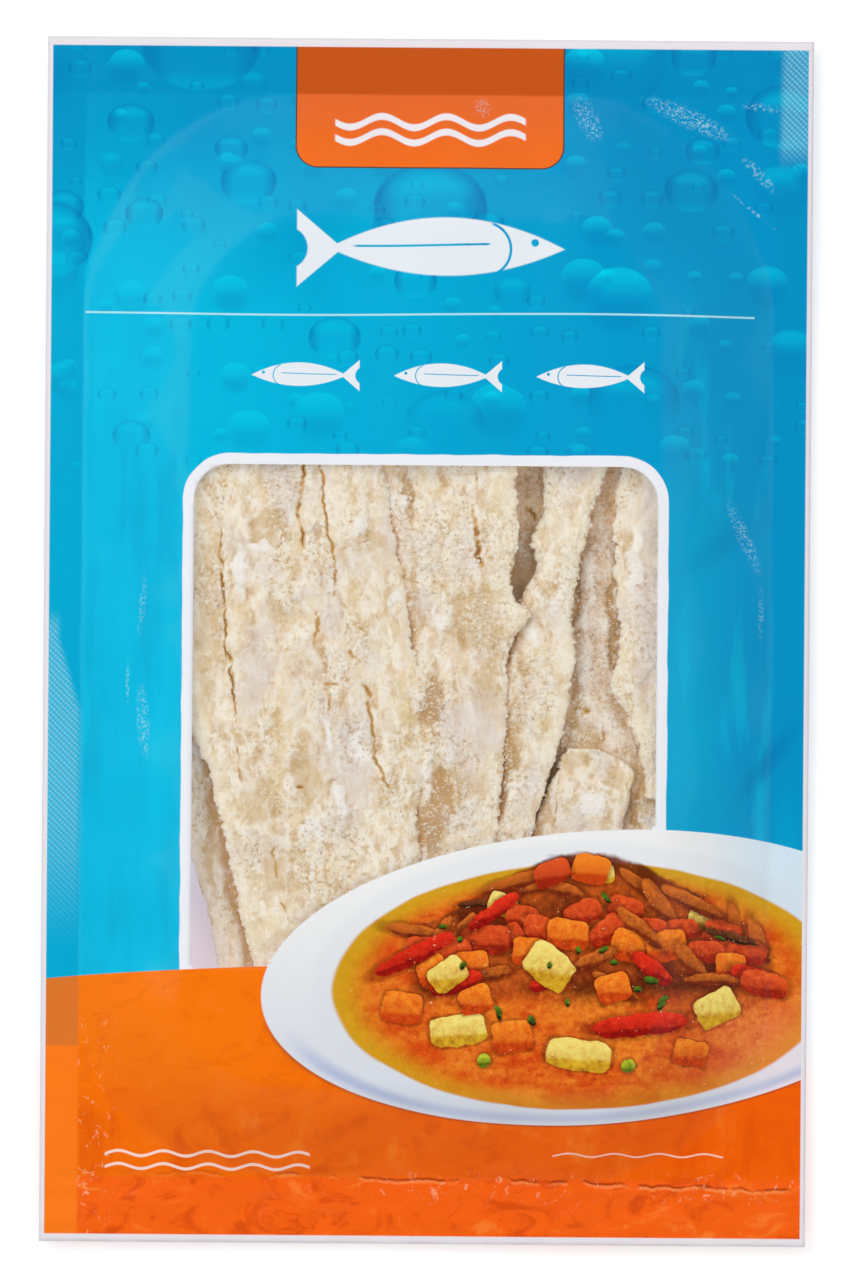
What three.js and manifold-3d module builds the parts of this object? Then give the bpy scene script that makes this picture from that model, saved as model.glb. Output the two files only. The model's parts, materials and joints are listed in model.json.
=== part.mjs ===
// A sealed retail pouch of salted pollock fillets, lying on its back with the printed front up.
// The pouch is one solid: flat heat-sealed margins round a low pillow that the fish presses out.
// Under the clear window in its front is a chamber, and in it lie the fillets that the window shows.
// Millimetres. +X is the right of the front, +Y the top of the print and +Z out of the front.
// The origin is on the surface that the pouch lies on, under its middle.
import * as THREE from 'three';
import { mergeVertices } from 'three/addons/utils/BufferGeometryUtils.js';
import Module from 'manifold-3d';

const wasm = await Module();
wasm.setup();

// Driving dimensions.
const packWidth = 178; // 7 inches
const packLength = 280; // 11 inches
const sideSeal = 8.8;
const topSeal = 13;
const bottomSeal = 15.2;
const sealThickness = 0.8;
const sealHeight = 2.6; // middle of the sealed margin above the table
const plateauHeight = 17.6; // front film over the fish, before its ridges
const filmThickness = 1; // heavier than real film, so that it is a sound solid
const gap = 0.35; // kept between neighbouring solids
const cutDepth = 0.5; // how far the back reaches below the table's plane before it is cut flat

// Where the fish ends and the film slopes down to the seals.
const fishHalfWidth = 54;
const fishTop = 92;
const fishBottom = -106;
const shoulderRound = 22;
const flatShare = 0.45; // share of the shoulder's reach that is still level
const shoulderPower = 1.5; // how gently the shoulder starts to fall
const backPower = 0.6; // how far in the back already lies level

// Waves of the film: each is [height, radians per mm of x, radians per mm of y, start].
const sealWaves = [[0.35, 0.02, 0.052, 0.8], [0.25, 0.071, 0, -0.5]];
const fishRidges = [[0.5, 0.16, 0.005, 0.9], [0.3, 0.11, 0.038, 0]];
const cornerLift = 0.9;

// Folds from a seal into the pillow, which begin between two distances from the pouch's middle.
const sideFolds = { height: 0.75, from: 40, to: 70 };
const endFolds = { height: 0.95, from: 84, to: 114 };

// The clear window, in the plane of the print.
const windowLeft = -54.2;
const windowRight = 53.4;
const windowTop = 40.8;
const windowCorner = 8.4;
const windowLow = -110; // past the printed edges that close the window below
const bowl = { x: 39.4, y: -77.6, halfWidth: 77.2, halfHeight: 34, turn: THREE.MathUtils.degToRad(4.35) };
const band = { top: -75, sag: 0.00062, middle: -8 }; // the printed band's upper edge, an arc
const chamberMargin = 7; // how far the chamber reaches past the window, under the film

const sealLeft = packWidth / 2 - sideSeal;
const sealUpper = packLength / 2 - topSeal;
const sealLower = -packLength / 2 + bottomSeal;

const ramp = (value, from, to) => THREE.MathUtils.smoothstep((value - from) / (to - from), 0, 1);

// 1 over the fish and 0 on the seals: a shoulder at the edge of the fish, then a slope that meets
// the seal at an angle. The corners are round, which leaves each corner of the film flat.
function fullness(x, y) {
  const fishEnd = y > 0 ? fishTop : -fishBottom;
  const sealEnd = y > 0 ? sealUpper : -sealLower;
  const inX = fishHalfWidth - shoulderRound;
  const inY = fishEnd - shoulderRound;
  const reachX = Math.max(0, (Math.abs(x) - inX) / (sealLeft - inX));
  const reachY = Math.max(0, (Math.abs(y) - inY) / (sealEnd - inY));
  const down = THREE.MathUtils.clamp((Math.hypot(reachX, reachY) - flatShare) / (1 - flatShare), 0, 1);
  return 1 - (Math.pow(down, shoulderPower) + ramp(down, 0, 1)) / 2;
}

function sumOfWaves(waves, x, y) {
  let total = 0;
  for (const [height, perX, perY, start] of waves) total += height * Math.sin(perX * x + perY * y + start);
  return total;
}

// The sealed margin lies in slow waves, and its corners lift a little.
function sealWave(x, y) {
  const corner = Math.pow(Math.abs(x) / (packWidth / 2), 6) * Math.pow(Math.abs(y) / (packLength / 2), 6);
  return sumOfWaves(sealWaves, x, y) + cornerLift * corner;
}

// Soft folds that run from a seal into the pillow and fade out over the shoulder.
function folds(x, y) {
  const full = fullness(x, y);
  const onShoulder = 4 * full * (1 - full);
  const fromSides = Math.sin(0.19 * y + 1.4 * Math.sin(0.037 * y + 2)) *
    ramp(Math.abs(x), sideFolds.from, sideFolds.to);
  const fromEnds = Math.sin(0.17 * x + 1.2 * Math.sin(0.05 * x)) *
    ramp(Math.abs(y), endFolds.from, endFolds.to);
  return onShoulder * (sideFolds.height * fromSides + endFolds.height * fromEnds);
}

// The front film: level over the fish with long low ridges where fillets press it out.
function frontHeight(x, y) {
  const full = fullness(x, y);
  const onSeal = sealHeight + sealThickness / 2 + sealWave(x, y) * (1 - full);
  return onSeal + (plateauHeight - sealHeight - sealThickness / 2) * full + folds(x, y) +
    full * sumOfWaves(fishRidges, x, y);
}

// The back turns up to the seals at its edges. Over the fish it reaches below the table's plane,
// where a level cut makes it flat.
function backHeight(x, y) {
  const up = 1 - Math.pow(fullness(x, y), backPower);
  return up * (sealHeight - sealThickness / 2 + sealWave(x, y) + cutDepth) - cutDepth;
}

// Grid lines from one mark to the next, each stretch in its own number of equal steps.
function gridLines(start, stretches) {
  const lines = [start];
  for (const [end, steps] of stretches) {
    const from = lines[lines.length - 1];
    for (let i = 1; i <= steps; i++) lines.push(from + ((end - from) * i) / steps);
  }
  return lines;
}

function solidFrom(positions, triangles) {
  const geometry = new THREE.BufferGeometry();
  geometry.setAttribute('position', new THREE.Float32BufferAttribute(positions, 3));
  geometry.setIndex(triangles);
  return manifoldOf(geometry);
}

function manifoldOf(geometry) {
  const bare = geometry.clone();
  bare.deleteAttribute('normal');
  bare.deleteAttribute('uv');
  const merged = mergeVertices(bare, 1e-4);
  return new wasm.Manifold(new wasm.Mesh({
    numProp: 3,
    vertProperties: new Float32Array(merged.attributes.position.array),
    triVerts: new Uint32Array(merged.index.array),
  }));
}

function geometryOf(manifold) {
  const { vertProperties, triVerts } = manifold.getMesh();
  const geometry = new THREE.BufferGeometry();
  geometry.setAttribute('position', new THREE.BufferAttribute(vertProperties, 3));
  geometry.setIndex(new THREE.BufferAttribute(triVerts, 1));
  geometry.computeVertexNormals();
  return geometry;
}

// The solid between two height functions over a grid.
function slab(xs, ys, top, bottom) {
  const positions = [];
  for (const height of [top, bottom]) {
    for (const y of ys) {
      for (const x of xs) positions.push(x, y, height(x, y));
    }
  }
  const columns = xs.length;
  const rows = ys.length;
  const at = (i, j, layer) => (layer * rows + j) * columns + i;
  const triangles = [];
  const quad = (a, b, c, d) => triangles.push(a, b, c, a, c, d);
  for (let j = 0; j + 1 < rows; j++) {
    for (let i = 0; i + 1 < columns; i++) {
      quad(at(i, j, 0), at(i + 1, j, 0), at(i + 1, j + 1, 0), at(i, j + 1, 0));
      quad(at(i, j, 1), at(i, j + 1, 1), at(i + 1, j + 1, 1), at(i + 1, j, 1));
    }
  }
  for (let i = 0; i + 1 < columns; i++) {
    quad(at(i, 0, 1), at(i + 1, 0, 1), at(i + 1, 0, 0), at(i, 0, 0));
    quad(at(i, rows - 1, 0), at(i + 1, rows - 1, 0), at(i + 1, rows - 1, 1), at(i, rows - 1, 1));
  }
  for (let j = 0; j + 1 < rows; j++) {
    quad(at(0, j, 0), at(0, j + 1, 0), at(0, j + 1, 1), at(0, j, 1));
    const end = columns - 1;
    quad(at(end, j, 1), at(end, j + 1, 1), at(end, j + 1, 0), at(end, j, 0));
  }
  return solidFrom(positions, triangles);
}

function prism(shape, low, high) {
  const options = { depth: high - low, bevelEnabled: false, curveSegments: 10 };
  return manifoldOf(new THREE.ExtrudeGeometry(shape, options).translate(0, 0, low));
}

function roundedRectangle(left, right, low, high, radius) {
  const shape = new THREE.Shape();
  shape.moveTo(left, low);
  shape.lineTo(right, low);
  shape.lineTo(right, high - radius);
  shape.absarc(right - radius, high - radius, radius, 0, Math.PI / 2);
  shape.lineTo(left + radius, high);
  shape.absarc(left + radius, high - radius, radius, Math.PI / 2, Math.PI);
  shape.closePath();
  return shape;
}

function ellipse({ x, y, halfWidth, halfHeight, turn }, grow) {
  const [wide, high] = [halfWidth + grow, halfHeight + grow];
  const curve = new THREE.EllipseCurve(x, y, wide, high, 0, 2 * Math.PI, false, turn);
  return new THREE.Shape(curve.getPoints(72));
}

function bandShape(grow) {
  const steps = 16;
  const reach = packWidth / 2;
  const edge = [];
  for (let i = 0; i <= steps; i++) {
    const x = -reach + (2 * reach * i) / steps;
    edge.push(new THREE.Vector2(x, band.top + grow - band.sag * (x - band.middle) ** 2));
  }
  edge.push(new THREE.Vector2(reach, -packLength), new THREE.Vector2(-reach, -packLength));
  return new THREE.Shape(edge);
}

// The column of space behind the window, grown sideways by a margin, from one height to another.
function windowColumn(margin, low, high) {
  const frame = roundedRectangle(windowLeft - margin, windowRight + margin, windowLow, windowTop + margin,
    windowCorner + margin / 2);
  return prism(frame, low, high)
    .subtract(prism(ellipse(bowl, -margin), low - 1, high + 1))
    .subtract(prism(bandShape(-margin), low - 1, high + 1));
}

const coarseX = gridLines(-packWidth / 2, [[-sealLeft, 2], [-fishHalfWidth, 6], [fishHalfWidth, 16],
  [sealLeft, 6], [packWidth / 2, 2]]);
const coarseY = gridLines(-packLength / 2, [[sealLower, 2], [fishBottom, 5], [fishTop, 26], [sealUpper, 8],
  [packLength / 2, 2]]);

// The chamber behind the window, from the back film up to the underside of the front film.
function chamber(shrink) {
  const underFront = slab(
    gridLines(windowLeft - chamberMargin - 2, [[windowRight + chamberMargin + 2, 17]]),
    gridLines(windowLow, [[windowTop + chamberMargin + 2, 20]]),
    (x, y) => frontHeight(x, y) - filmThickness - shrink,
    () => -packLength,
  );
  return underFront.intersect(windowColumn(chamberMargin - shrink, filmThickness + shrink, packLength));
}

function pouchSolid() {
  const aboveTable = new THREE.BoxGeometry(2 * packWidth, 2 * packLength, packWidth)
    .translate(0, 0, packWidth / 2);
  return slab(coarseX, coarseY, frontHeight, backHeight)
    .intersect(manifoldOf(aboveTable))
    .subtract(chamber(0))
    .subtract(windowColumn(0, filmThickness, packLength));
}

const signedPower = (value, power) => Math.sign(value) * Math.pow(Math.abs(value), power);

// The flaky, salt-crusted upper face of a fillet: long fibres with a slow roll, and shallow pits.
function crust(x, y, seed) {
  const fibres = 0.34 * Math.sin(1.15 * x + 1.1 * Math.sin(0.06 * y + seed) + seed);
  const flakes = 0.28 * Math.sin(0.42 * y + 0.5 * x + 2 * seed) * Math.sin(0.31 * x - 0.13 * y + seed);
  const roll = 0.3 * Math.sin(0.13 * y + 0.09 * x + 3 * seed);
  return fibres + flakes + roll;
}

// Angles round a fillet's section: fine steps over the face that shows and four under it.
function sectionAngles(acrossSteps) {
  const angles = [];
  for (let i = 0; i < acrossSteps; i++) angles.push((Math.PI * i) / acrossSteps);
  for (let i = 0; i < 4; i++) angles.push(Math.PI + (Math.PI * i) / 4);
  return angles;
}

// A fillet is lofted along the pack through its stations, each [y, left edge, right edge].
// Its section is a plank with rounded edges that tilts across its width.
function fillet(shape, grow = 0) {
  const { stations, top, thickness, tilt = 0, along, across: acrossSteps, seed } = shape;
  const marks = stations.map(([y, left, right]) => new THREE.Vector3(left, right, y));
  const edges = new THREE.CatmullRomCurve3(marks);
  const angles = sectionAngles(acrossSteps);
  const around = angles.length;
  const positions = [];
  for (let i = 0; i <= along; i++) {
    const { x: left, y: right, z: y } = edges.getPoint(i / along);
    const endSign = i === 0 ? 1 : i === along ? -1 : 0;
    const half = (right - left) / 2 + grow;
    const centre = (left + right) / 2;
    for (const angle of angles) {
      const across = half * signedPower(Math.cos(angle), 0.75);
      const up = signedPower(Math.sin(angle), 0.6);
      const relief = up > 0 ? up * crust(centre + across, y, seed) : 0;
      const height = top - thickness / 2 + tilt * across + up * (thickness / 2 + grow) + relief;
      positions.push(centre + across, y + endSign * grow, height);
    }
  }
  const rings = along + 1;
  const triangles = [];
  for (let i = 0; i < along; i++) {
    for (let k = 0; k < around; k++) {
      const a = i * around + k;
      const b = i * around + ((k + 1) % around);
      triangles.push(a, b + around, b, a, a + around, b + around);
    }
  }
  for (const ring of [0, along]) {
    const from = ring * around;
    const centre = new THREE.Vector3();
    for (let k = 0; k < around; k++) centre.add(new THREE.Vector3().fromArray(positions, 3 * (from + k)));
    centre.divideScalar(around);
    positions.push(centre.x, centre.y, centre.z);
    const hub = rings * around + (ring === 0 ? 0 : 1);
    for (let k = 0; k < around; k++) {
      const a = from + k;
      const b = from + ((k + 1) % around);
      triangles.push(...(ring === 0 ? [hub, a, b] : [hub, b, a]));
    }
  }
  const solid = solidFrom(positions, triangles);
  if (solid.volume() > 0) return solid;
  const turned = [];
  for (let t = 0; t < triangles.length; t += 3) turned.push(triangles[t], triangles[t + 2], triangles[t + 1]);
  return solidFrom(positions, turned);
}

// The fillets and cut pieces that the window shows, upper ones first.
const fillets = [
  {
    name: 'fillet_large', top: 15.6, thickness: 6.8, tilt: 0.012, along: 32, across: 17, seed: 0.4,
    stations: [[56, -59, -12], [39.8, -58.6, -10.2], [25.6, -58.2, -7.8], [12.2, -58, -5.4],
      [-1.3, -57.8, -3.2], [-11.6, -57, 0.2], [-20, -54.6, -2.3], [-29.3, -50.4, 0], [-38.5, -47.9, -1.9],
      [-50, -45.2, -1], [-65, -42, -3], [-76, -39.2, -5], [-96, -35, -7]],
  },
  {
    name: 'fillet_middle', top: 14.1, thickness: 6.2, tilt: 0.13, along: 27, across: 13, seed: 1.7,
    stations: [[56, -20, 19.8], [40, -19, 20.2], [24, -16, 20.8], [11.8, -14, 19.4], [5.6, -13, 23.3],
      [1.5, -12, 20.2], [-13.4, -13, 18.8], [-35.5, -12, 17.2], [-66, -14, 15.2]],
  },
  {
    name: 'fillet_narrow', top: 13.4, thickness: 5.6, tilt: 0.12, along: 28, across: 11, seed: 2.9,
    stations: [[56, 27, 42], [39.5, 26.7, 40.8], [30, 27, 38], [24.8, 24.4, 36.9], [17, 25.4, 35],
      [9.8, 21.5, 33.8], [-3.6, 16, 34.2], [-17.6, 12, 32.2], [-28.7, 10, 29.5], [-42, 7, 25.2],
      [-62, 4, 20.5]],
  },
  {
    name: 'fillet_edge', top: 13.8, thickness: 5.8, tilt: -0.04, along: 22, across: 10, seed: 4.3,
    stations: [[56, 47, 63], [41, 45.4, 62], [33.2, 43.8, 61.5], [21, 43.4, 61], [11, 44, 61], [-0.8, 45, 60],
      [-11, 43.2, 58], [-18, 47, 57], [-28, 50, 56], [-36, 51.6, 54.6]],
  },
  {
    name: 'piece_low', top: 11.8, thickness: 4.8, tilt: 0.02, along: 10, across: 10, seed: 5.1,
    stations: [[-24.6, 33.6, 39.4], [-26.4, 31.8, 43.4], [-29.2, 30.8, 47.6], [-35, 28, 47.6],
      [-42.6, 25.2, 45.6], [-56, 21, 43.5]],
  },
  {
    name: 'piece_corner', top: 10.4, thickness: 4.4, along: 7, across: 7, seed: 6.2,
    stations: [[-31.5, 50.5, 55], [-34, 49, 59], [-42, 47, 60], [-56, 45.4, 60]],
  },
  {
    name: 'fillet_under', top: 8.9, thickness: 6.6, along: 14, across: 8, seed: 7.4,
    stations: [[50, -57, -12], [20, -58, -10], [-14, -59, -9], [-37.3, -56.6, -9.5], [-51, -54.2, -10],
      [-60.5, -50.8, -11], [-71.7, -48.5, -12], [-96, -43, -14]],
  },
  {
    name: 'fillet_back', top: 8.8, thickness: 6, tilt: 0.03, along: 13, across: 8, seed: 8.6,
    stations: [[56, 33, 60], [20, 31.5, 59.5], [0, 30, 58.5], [-12, 28.5, 57], [-30, 26, 54], [-56, 22, 52]],
  },
  {
    name: 'fillet_deep', top: 7.4, thickness: 5.2, along: 11, across: 8, seed: 9.5,
    stations: [[56, -8, 31], [20, -7, 29.8], [0, -6, 28.4], [-20, -6, 26.4], [-40, -7, 23.6], [-66, -9, 19]],
  },
];

// Each lower piece is cut clear of the ones above it, and a loose scrap is dropped.
function placeFillets() {
  const room = chamber(gap);
  const placed = new Map();
  const above = [];
  for (const piece of fillets) {
    let solid = fillet(piece).intersect(room);
    for (const upper of above) solid = solid.subtract(upper);
    const parts = solid.decompose().sort((a, b) => b.volume() - a.volume());
    placed.set(piece.name, parts[0]);
    above.push(fillet(piece, gap));
  }
  return placed;
}

const film = new THREE.MeshStandardMaterial({ color: 0x06a6d6, roughness: 0.35, metalness: 0 });
const flesh = {
  fillet_large: 0xe9dcc0, fillet_middle: 0xe4d6b8, fillet_narrow: 0xe8dab9, fillet_edge: 0xe6d8be,
  piece_low: 0xecddc0, piece_corner: 0xdcc49c, fillet_under: 0xdac8a0, fillet_back: 0xcfc0a2,
  fillet_deep: 0xb99c74,
};

const group = new THREE.Group();
const addNode = (name, solid, material) => {
  const mesh = new THREE.Mesh(geometryOf(solid), material);
  mesh.name = name;
  group.add(mesh);
};

addNode('pouch', pouchSolid(), film);
for (const [name, solid] of placeFillets()) {
  addNode(name, solid, new THREE.MeshStandardMaterial({ color: flesh[name], roughness: 0.85, metalness: 0 }));
}

export default group;
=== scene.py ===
# A sealed pouch of salted fish fillets, lying on its back with the printed front up.
# Film, print, clear window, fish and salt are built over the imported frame's own surfaces.
# Sizes are millimetres in the pouch's frame until a mesh is made from them.
import json
import math

import bpy
import numpy as np
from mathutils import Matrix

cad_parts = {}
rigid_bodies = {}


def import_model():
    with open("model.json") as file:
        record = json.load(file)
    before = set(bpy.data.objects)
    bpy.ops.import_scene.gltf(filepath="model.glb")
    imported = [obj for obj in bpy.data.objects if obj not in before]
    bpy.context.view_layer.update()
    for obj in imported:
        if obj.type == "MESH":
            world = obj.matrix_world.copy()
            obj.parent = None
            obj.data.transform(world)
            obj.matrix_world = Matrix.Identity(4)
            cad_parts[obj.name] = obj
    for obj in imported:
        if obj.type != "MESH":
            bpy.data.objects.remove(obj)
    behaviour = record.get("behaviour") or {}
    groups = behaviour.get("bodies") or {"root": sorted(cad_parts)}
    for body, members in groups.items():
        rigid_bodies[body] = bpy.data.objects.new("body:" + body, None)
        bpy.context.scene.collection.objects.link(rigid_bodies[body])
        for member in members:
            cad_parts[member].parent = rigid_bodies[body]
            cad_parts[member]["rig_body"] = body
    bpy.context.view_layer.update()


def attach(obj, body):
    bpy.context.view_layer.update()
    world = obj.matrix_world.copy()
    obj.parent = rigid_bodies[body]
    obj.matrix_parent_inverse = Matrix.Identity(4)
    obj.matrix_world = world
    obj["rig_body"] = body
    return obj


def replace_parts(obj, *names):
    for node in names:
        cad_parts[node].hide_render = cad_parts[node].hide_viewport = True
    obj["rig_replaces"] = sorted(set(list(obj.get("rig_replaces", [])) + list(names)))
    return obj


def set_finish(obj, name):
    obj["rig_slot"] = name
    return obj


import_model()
mm = 0.001
draw = np.random.default_rng(41)


# Ovals, as the bowl, the patches of the fish and the glints of the film are laid out
def oval(x, y, halfWidth, halfHeight, degrees):
    return {"x": x, "y": y, "halfWidth": halfWidth, "halfHeight": halfHeight, "turn": math.radians(degrees)}


def ovalPlace(x, y, shape, grow=0.0):  # a point in the oval's own axes, at 1 from its middle on its edge
    c, s = math.cos(shape["turn"]), math.sin(shape["turn"])
    u = ((x - shape["x"]) * c + (y - shape["y"]) * s) / (shape["halfWidth"] + grow)
    v = ((y - shape["y"]) * c - (x - shape["x"]) * s) / (shape["halfHeight"] + grow)
    return u, v


# The pouch's surfaces, as in the frame's source
packWidth, packLength = 178.0, 280.0
sealLeft = packWidth / 2 - 8.8
sealUpper = packLength / 2 - 13.0
sealLower = 15.2 - packLength / 2
sealHeight, sealThickness = 2.6, 0.8
plateauHeight = 17.6
cutDepth = 0.5
fishHalfWidth, fishTop, fishBottom = 54.0, 92.0, -106.0
shoulderRound, flatShare, shoulderPower, backPower = 22.0, 0.45, 1.5, 0.6
sealWaves = [(0.35, 0.02, 0.052, 0.8), (0.25, 0.071, 0.0, -0.5)]
fishRidges = [(0.5, 0.16, 0.005, 0.9), (0.3, 0.11, 0.038, 0.0)]
cornerLift = 0.9
windowLeft, windowRight, windowTop, windowCorner = -54.2, 53.4, 40.8, 8.4
bowl = oval(39.4, -77.6, 77.2, 34.0, 4.35)
bandTop, bandSag, bandMiddle = -75.0, 0.00062, -8.0


def ramp(value, start, end):
    t = np.clip((value - start) / (end - start), 0, 1)
    return t * t * (3 - 2 * t)


def sumOfWaves(waves, x, y):
    return sum(height * np.sin(perX * x + perY * y + start) for height, perX, perY, start in waves)


def fullness(x, y):  # 1 over the fish, 0 on the seals
    fishEnd = np.where(y > 0, fishTop, -fishBottom)
    sealEnd = np.where(y > 0, sealUpper, -sealLower)
    inX, inY = fishHalfWidth - shoulderRound, fishEnd - shoulderRound
    reachX = np.maximum(0, (np.abs(x) - inX) / (sealLeft - inX))
    reachY = np.maximum(0, (np.abs(y) - inY) / (sealEnd - inY))
    down = np.clip((np.hypot(reachX, reachY) - flatShare) / (1 - flatShare), 0, 1)
    return 1 - (down ** shoulderPower + ramp(down, 0, 1)) / 2


def sealWave(x, y):
    corner = np.abs(2 * x / packWidth) ** 6 * np.abs(2 * y / packLength) ** 6
    return sumOfWaves(sealWaves, x, y) + cornerLift * corner


def folds(x, y):
    full = fullness(x, y)
    fromSides = np.sin(0.19 * y + 1.4 * np.sin(0.037 * y + 2)) * ramp(np.abs(x), 40, 70)
    fromEnds = np.sin(0.17 * x + 1.2 * np.sin(0.05 * x)) * ramp(np.abs(y), 84, 114)
    return 4 * full * (1 - full) * (0.75 * fromSides + 0.95 * fromEnds)


def frontHeight(x, y):
    full = fullness(x, y)
    onSeal = sealHeight + sealThickness / 2
    lift = (plateauHeight - onSeal) * full
    return onSeal + sealWave(x, y) * (1 - full) + lift + folds(x, y) + full * sumOfWaves(fishRidges, x, y)


def backHeight(x, y):
    up = 1 - fullness(x, y) ** backPower
    lifted = up * (sealHeight - sealThickness / 2 + sealWave(x, y) + cutDepth) - cutDepth
    return np.maximum(0, lifted)


# Noise
def latticeValue(ix, iy, seed):
    mixed = (ix.astype(np.int64) * 374761393 + iy.astype(np.int64) * 668265263 + seed * 54773789) & 0xFFFFFFFF
    mixed = ((mixed ^ (mixed >> 13)) * 1274126177) & 0xFFFFFFFF
    return ((mixed ^ (mixed >> 16)) & 0xFFFF) / 65535


def noise(x, y, seed):  # smooth, from -1 to 1, one bump to a unit
    ix, iy = np.floor(x), np.floor(y)
    fx, fy = ((t * t * t * (t * (6 * t - 15) + 10)) for t in (x - ix, y - iy))
    low = latticeValue(ix, iy, seed) * (1 - fx) + latticeValue(ix + 1, iy, seed) * fx
    high = latticeValue(ix, iy + 1, seed) * (1 - fx) + latticeValue(ix + 1, iy + 1, seed) * fx
    return 2 * (low * (1 - fy) + high * fy) - 1


def layered(x, y, seed, count=4):  # noise at doubling frequencies, each turned
    total, size = 0, 1.0
    for i in range(count):
        total = total + size * noise(x, y, seed + 3 * i)
        x, y = 1.6 * x + 1.2 * y + 17, 1.6 * y - 1.2 * x + 29
        size /= 2
    return total


def cells(x, y, seed):  # distance to the nearest of points scattered one to a unit square, and its number
    ix, iy = np.floor(x), np.floor(y)
    nearest, number = np.full(np.shape(x), 9.0), np.zeros(np.shape(x))
    for dx in (-1, 0, 1):
        for dy in (-1, 0, 1):
            px = ix + dx + latticeValue(ix + dx, iy + dy, seed)
            py = iy + dy + latticeValue(ix + dx, iy + dy, seed + 1)
            distance = np.hypot(px - x, py - y)
            closer = distance < nearest
            nearest = np.where(closer, distance, nearest)
            number = np.where(closer, latticeValue(ix + dx, iy + dy, seed + 2), number)
    return nearest, number


# Distances in the plane of the print, negative inside
def roundedBoxDistance(x, y, left, right, low, high, radius):
    overX = np.abs(x - (left + right) / 2) - ((right - left) / 2 - radius)
    overY = np.abs(y - (low + high) / 2) - ((high - low) / 2 - radius)
    outside = np.hypot(np.maximum(overX, 0), np.maximum(overY, 0))
    return outside + np.minimum(np.maximum(overX, overY), 0) - radius


def ovalDistance(x, y, shape):
    u, v = ovalPlace(x, y, shape)
    reach = np.hypot(u, v) + 1e-6
    slope = np.hypot(u / shape["halfWidth"], v / shape["halfHeight"]) / reach + 1e-6
    return (reach - 1) / slope


def bandDistance(x, y):
    return y - (bandTop - bandSag * (x - bandMiddle) ** 2)


def windowInset(x, y):  # how far inside the clear window, negative outside
    box = roundedBoxDistance(x, y, windowLeft, windowRight, -packLength / 2, windowTop, windowCorner)
    return np.minimum(-box, np.minimum(ovalDistance(x, y, bowl), bandDistance(x, y)))


# Meshes
def bake(obj):  # applies an object's modifiers
    mesh = bpy.data.meshes.new_from_object(obj.evaluated_get(bpy.context.evaluated_depsgraph_get()))
    obj.modifiers.clear()
    obj.data = mesh
    return obj


def meshObject(name, points, faces, *materials):
    mesh = bpy.data.meshes.new(name)
    mesh.from_pydata((np.asarray(points) * mm).tolist(), [], faces)
    mesh.shade_smooth()
    for material in materials:
        mesh.materials.append(material)
    obj = bpy.data.objects.new(name, mesh)
    bpy.context.scene.collection.objects.link(obj)
    return obj


def setAttribute(obj, name, values):
    attribute = obj.data.attributes.new(name, "FLOAT", "POINT")
    attribute.data.foreach_set("value", np.asarray(values, dtype=np.float32))


def gridLines(start, stretches):  # from mark to mark, each stretch in equal steps of about a size
    lines = [start]
    for end, step in stretches:
        count = max(1, round(abs(end - lines[-1]) / step))
        lines += list(np.linspace(lines[-1], end, count + 1)[1:])
    return np.array(lines)


def clippedGrid(xs, ys, inset):  # the part of a grid where inset(x, y) is above 0, cut along its zero line
    gridX, gridY = np.meshgrid(xs, ys)
    depth = inset(gridX, gridY)
    inside = depth > 0
    number = -np.ones(gridX.shape, dtype=int)
    number[inside] = np.arange(inside.sum())
    points = list(zip(gridX[inside], gridY[inside]))
    crossings = {}

    def crossing(a, b):
        key = (min(a, b), max(a, b))
        if key not in crossings:
            share = depth[a] / (depth[a] - depth[b])
            crossings[key] = len(points)
            points.append([lines[a] + share * (lines[b] - lines[a]) for lines in (gridX, gridY)])
        return crossings[key]

    corners = inside[:-1, :-1].astype(int) + inside[:-1, 1:] + inside[1:, :-1] + inside[1:, 1:]
    j, i = np.nonzero(corners == 4)
    faces = np.stack([number[j, i], number[j, i + 1], number[j + 1, i + 1], number[j + 1, i]], 1).tolist()
    for j, i in zip(*np.nonzero((corners > 0) & (corners < 4))):
        ring = [(j, i), (j, i + 1), (j + 1, i + 1), (j + 1, i)]
        face = []
        for a, b in zip(ring, ring[1:] + ring[:1]):
            if inside[a]:
                face.append(int(number[a]))
            if inside[a] != inside[b]:
                face.append(crossing(a, b))
        faces.append(face)
    return np.array(points, dtype=float), faces


def filmSheet(name, xs, ys, inset, height, thickness, *materials):
    flat, faces = clippedGrid(xs, ys, inset)
    z = height(flat[:, 0], flat[:, 1])
    sheet = meshObject(name, np.column_stack([flat, z]), faces, *materials)
    solidify = sheet.modifiers.new("thickness", "SOLIDIFY")
    solidify.thickness = thickness * mm
    solidify.offset = -1
    solidify.material_offset = len(materials) - 1
    solidify.material_offset_rim = 0
    return bake(sheet)


# Node trees: shorthand for making nodes and feeding them
def ink(r, g, b):  # a colour as the eye sees it, 0 to 255, made linear
    return [c / 3294.6 if c <= 10.31 else ((c / 255 + 0.055) / 1.055) ** 2.4 for c in (r, g, b)] + [1.0]


def feed(tree, socket, value):  # links what a node puts out, and sets a plain value
    if isinstance(value, Field):
        value = value.socket
    if isinstance(value, bpy.types.NodeSocket):
        tree.links.new(value, socket)
    else:
        socket.default_value = value


def feedNamed(tree, node, **values):  # an underscore stands for the space in a socket's name
    for label, value in values.items():
        feed(tree, node.inputs[label.replace("_", " ")], value)


def addNode(tree, kind, *values, settings={}, **named):  # its inputs are fed by place, then by name
    node = tree.nodes.new(kind)
    for label, value in settings.items():
        setattr(node, label, value)
    for place, value in enumerate(values):
        if value is not None:
            feed(tree, node.inputs[place], value)
    feedNamed(tree, node, **named)
    return node


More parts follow.
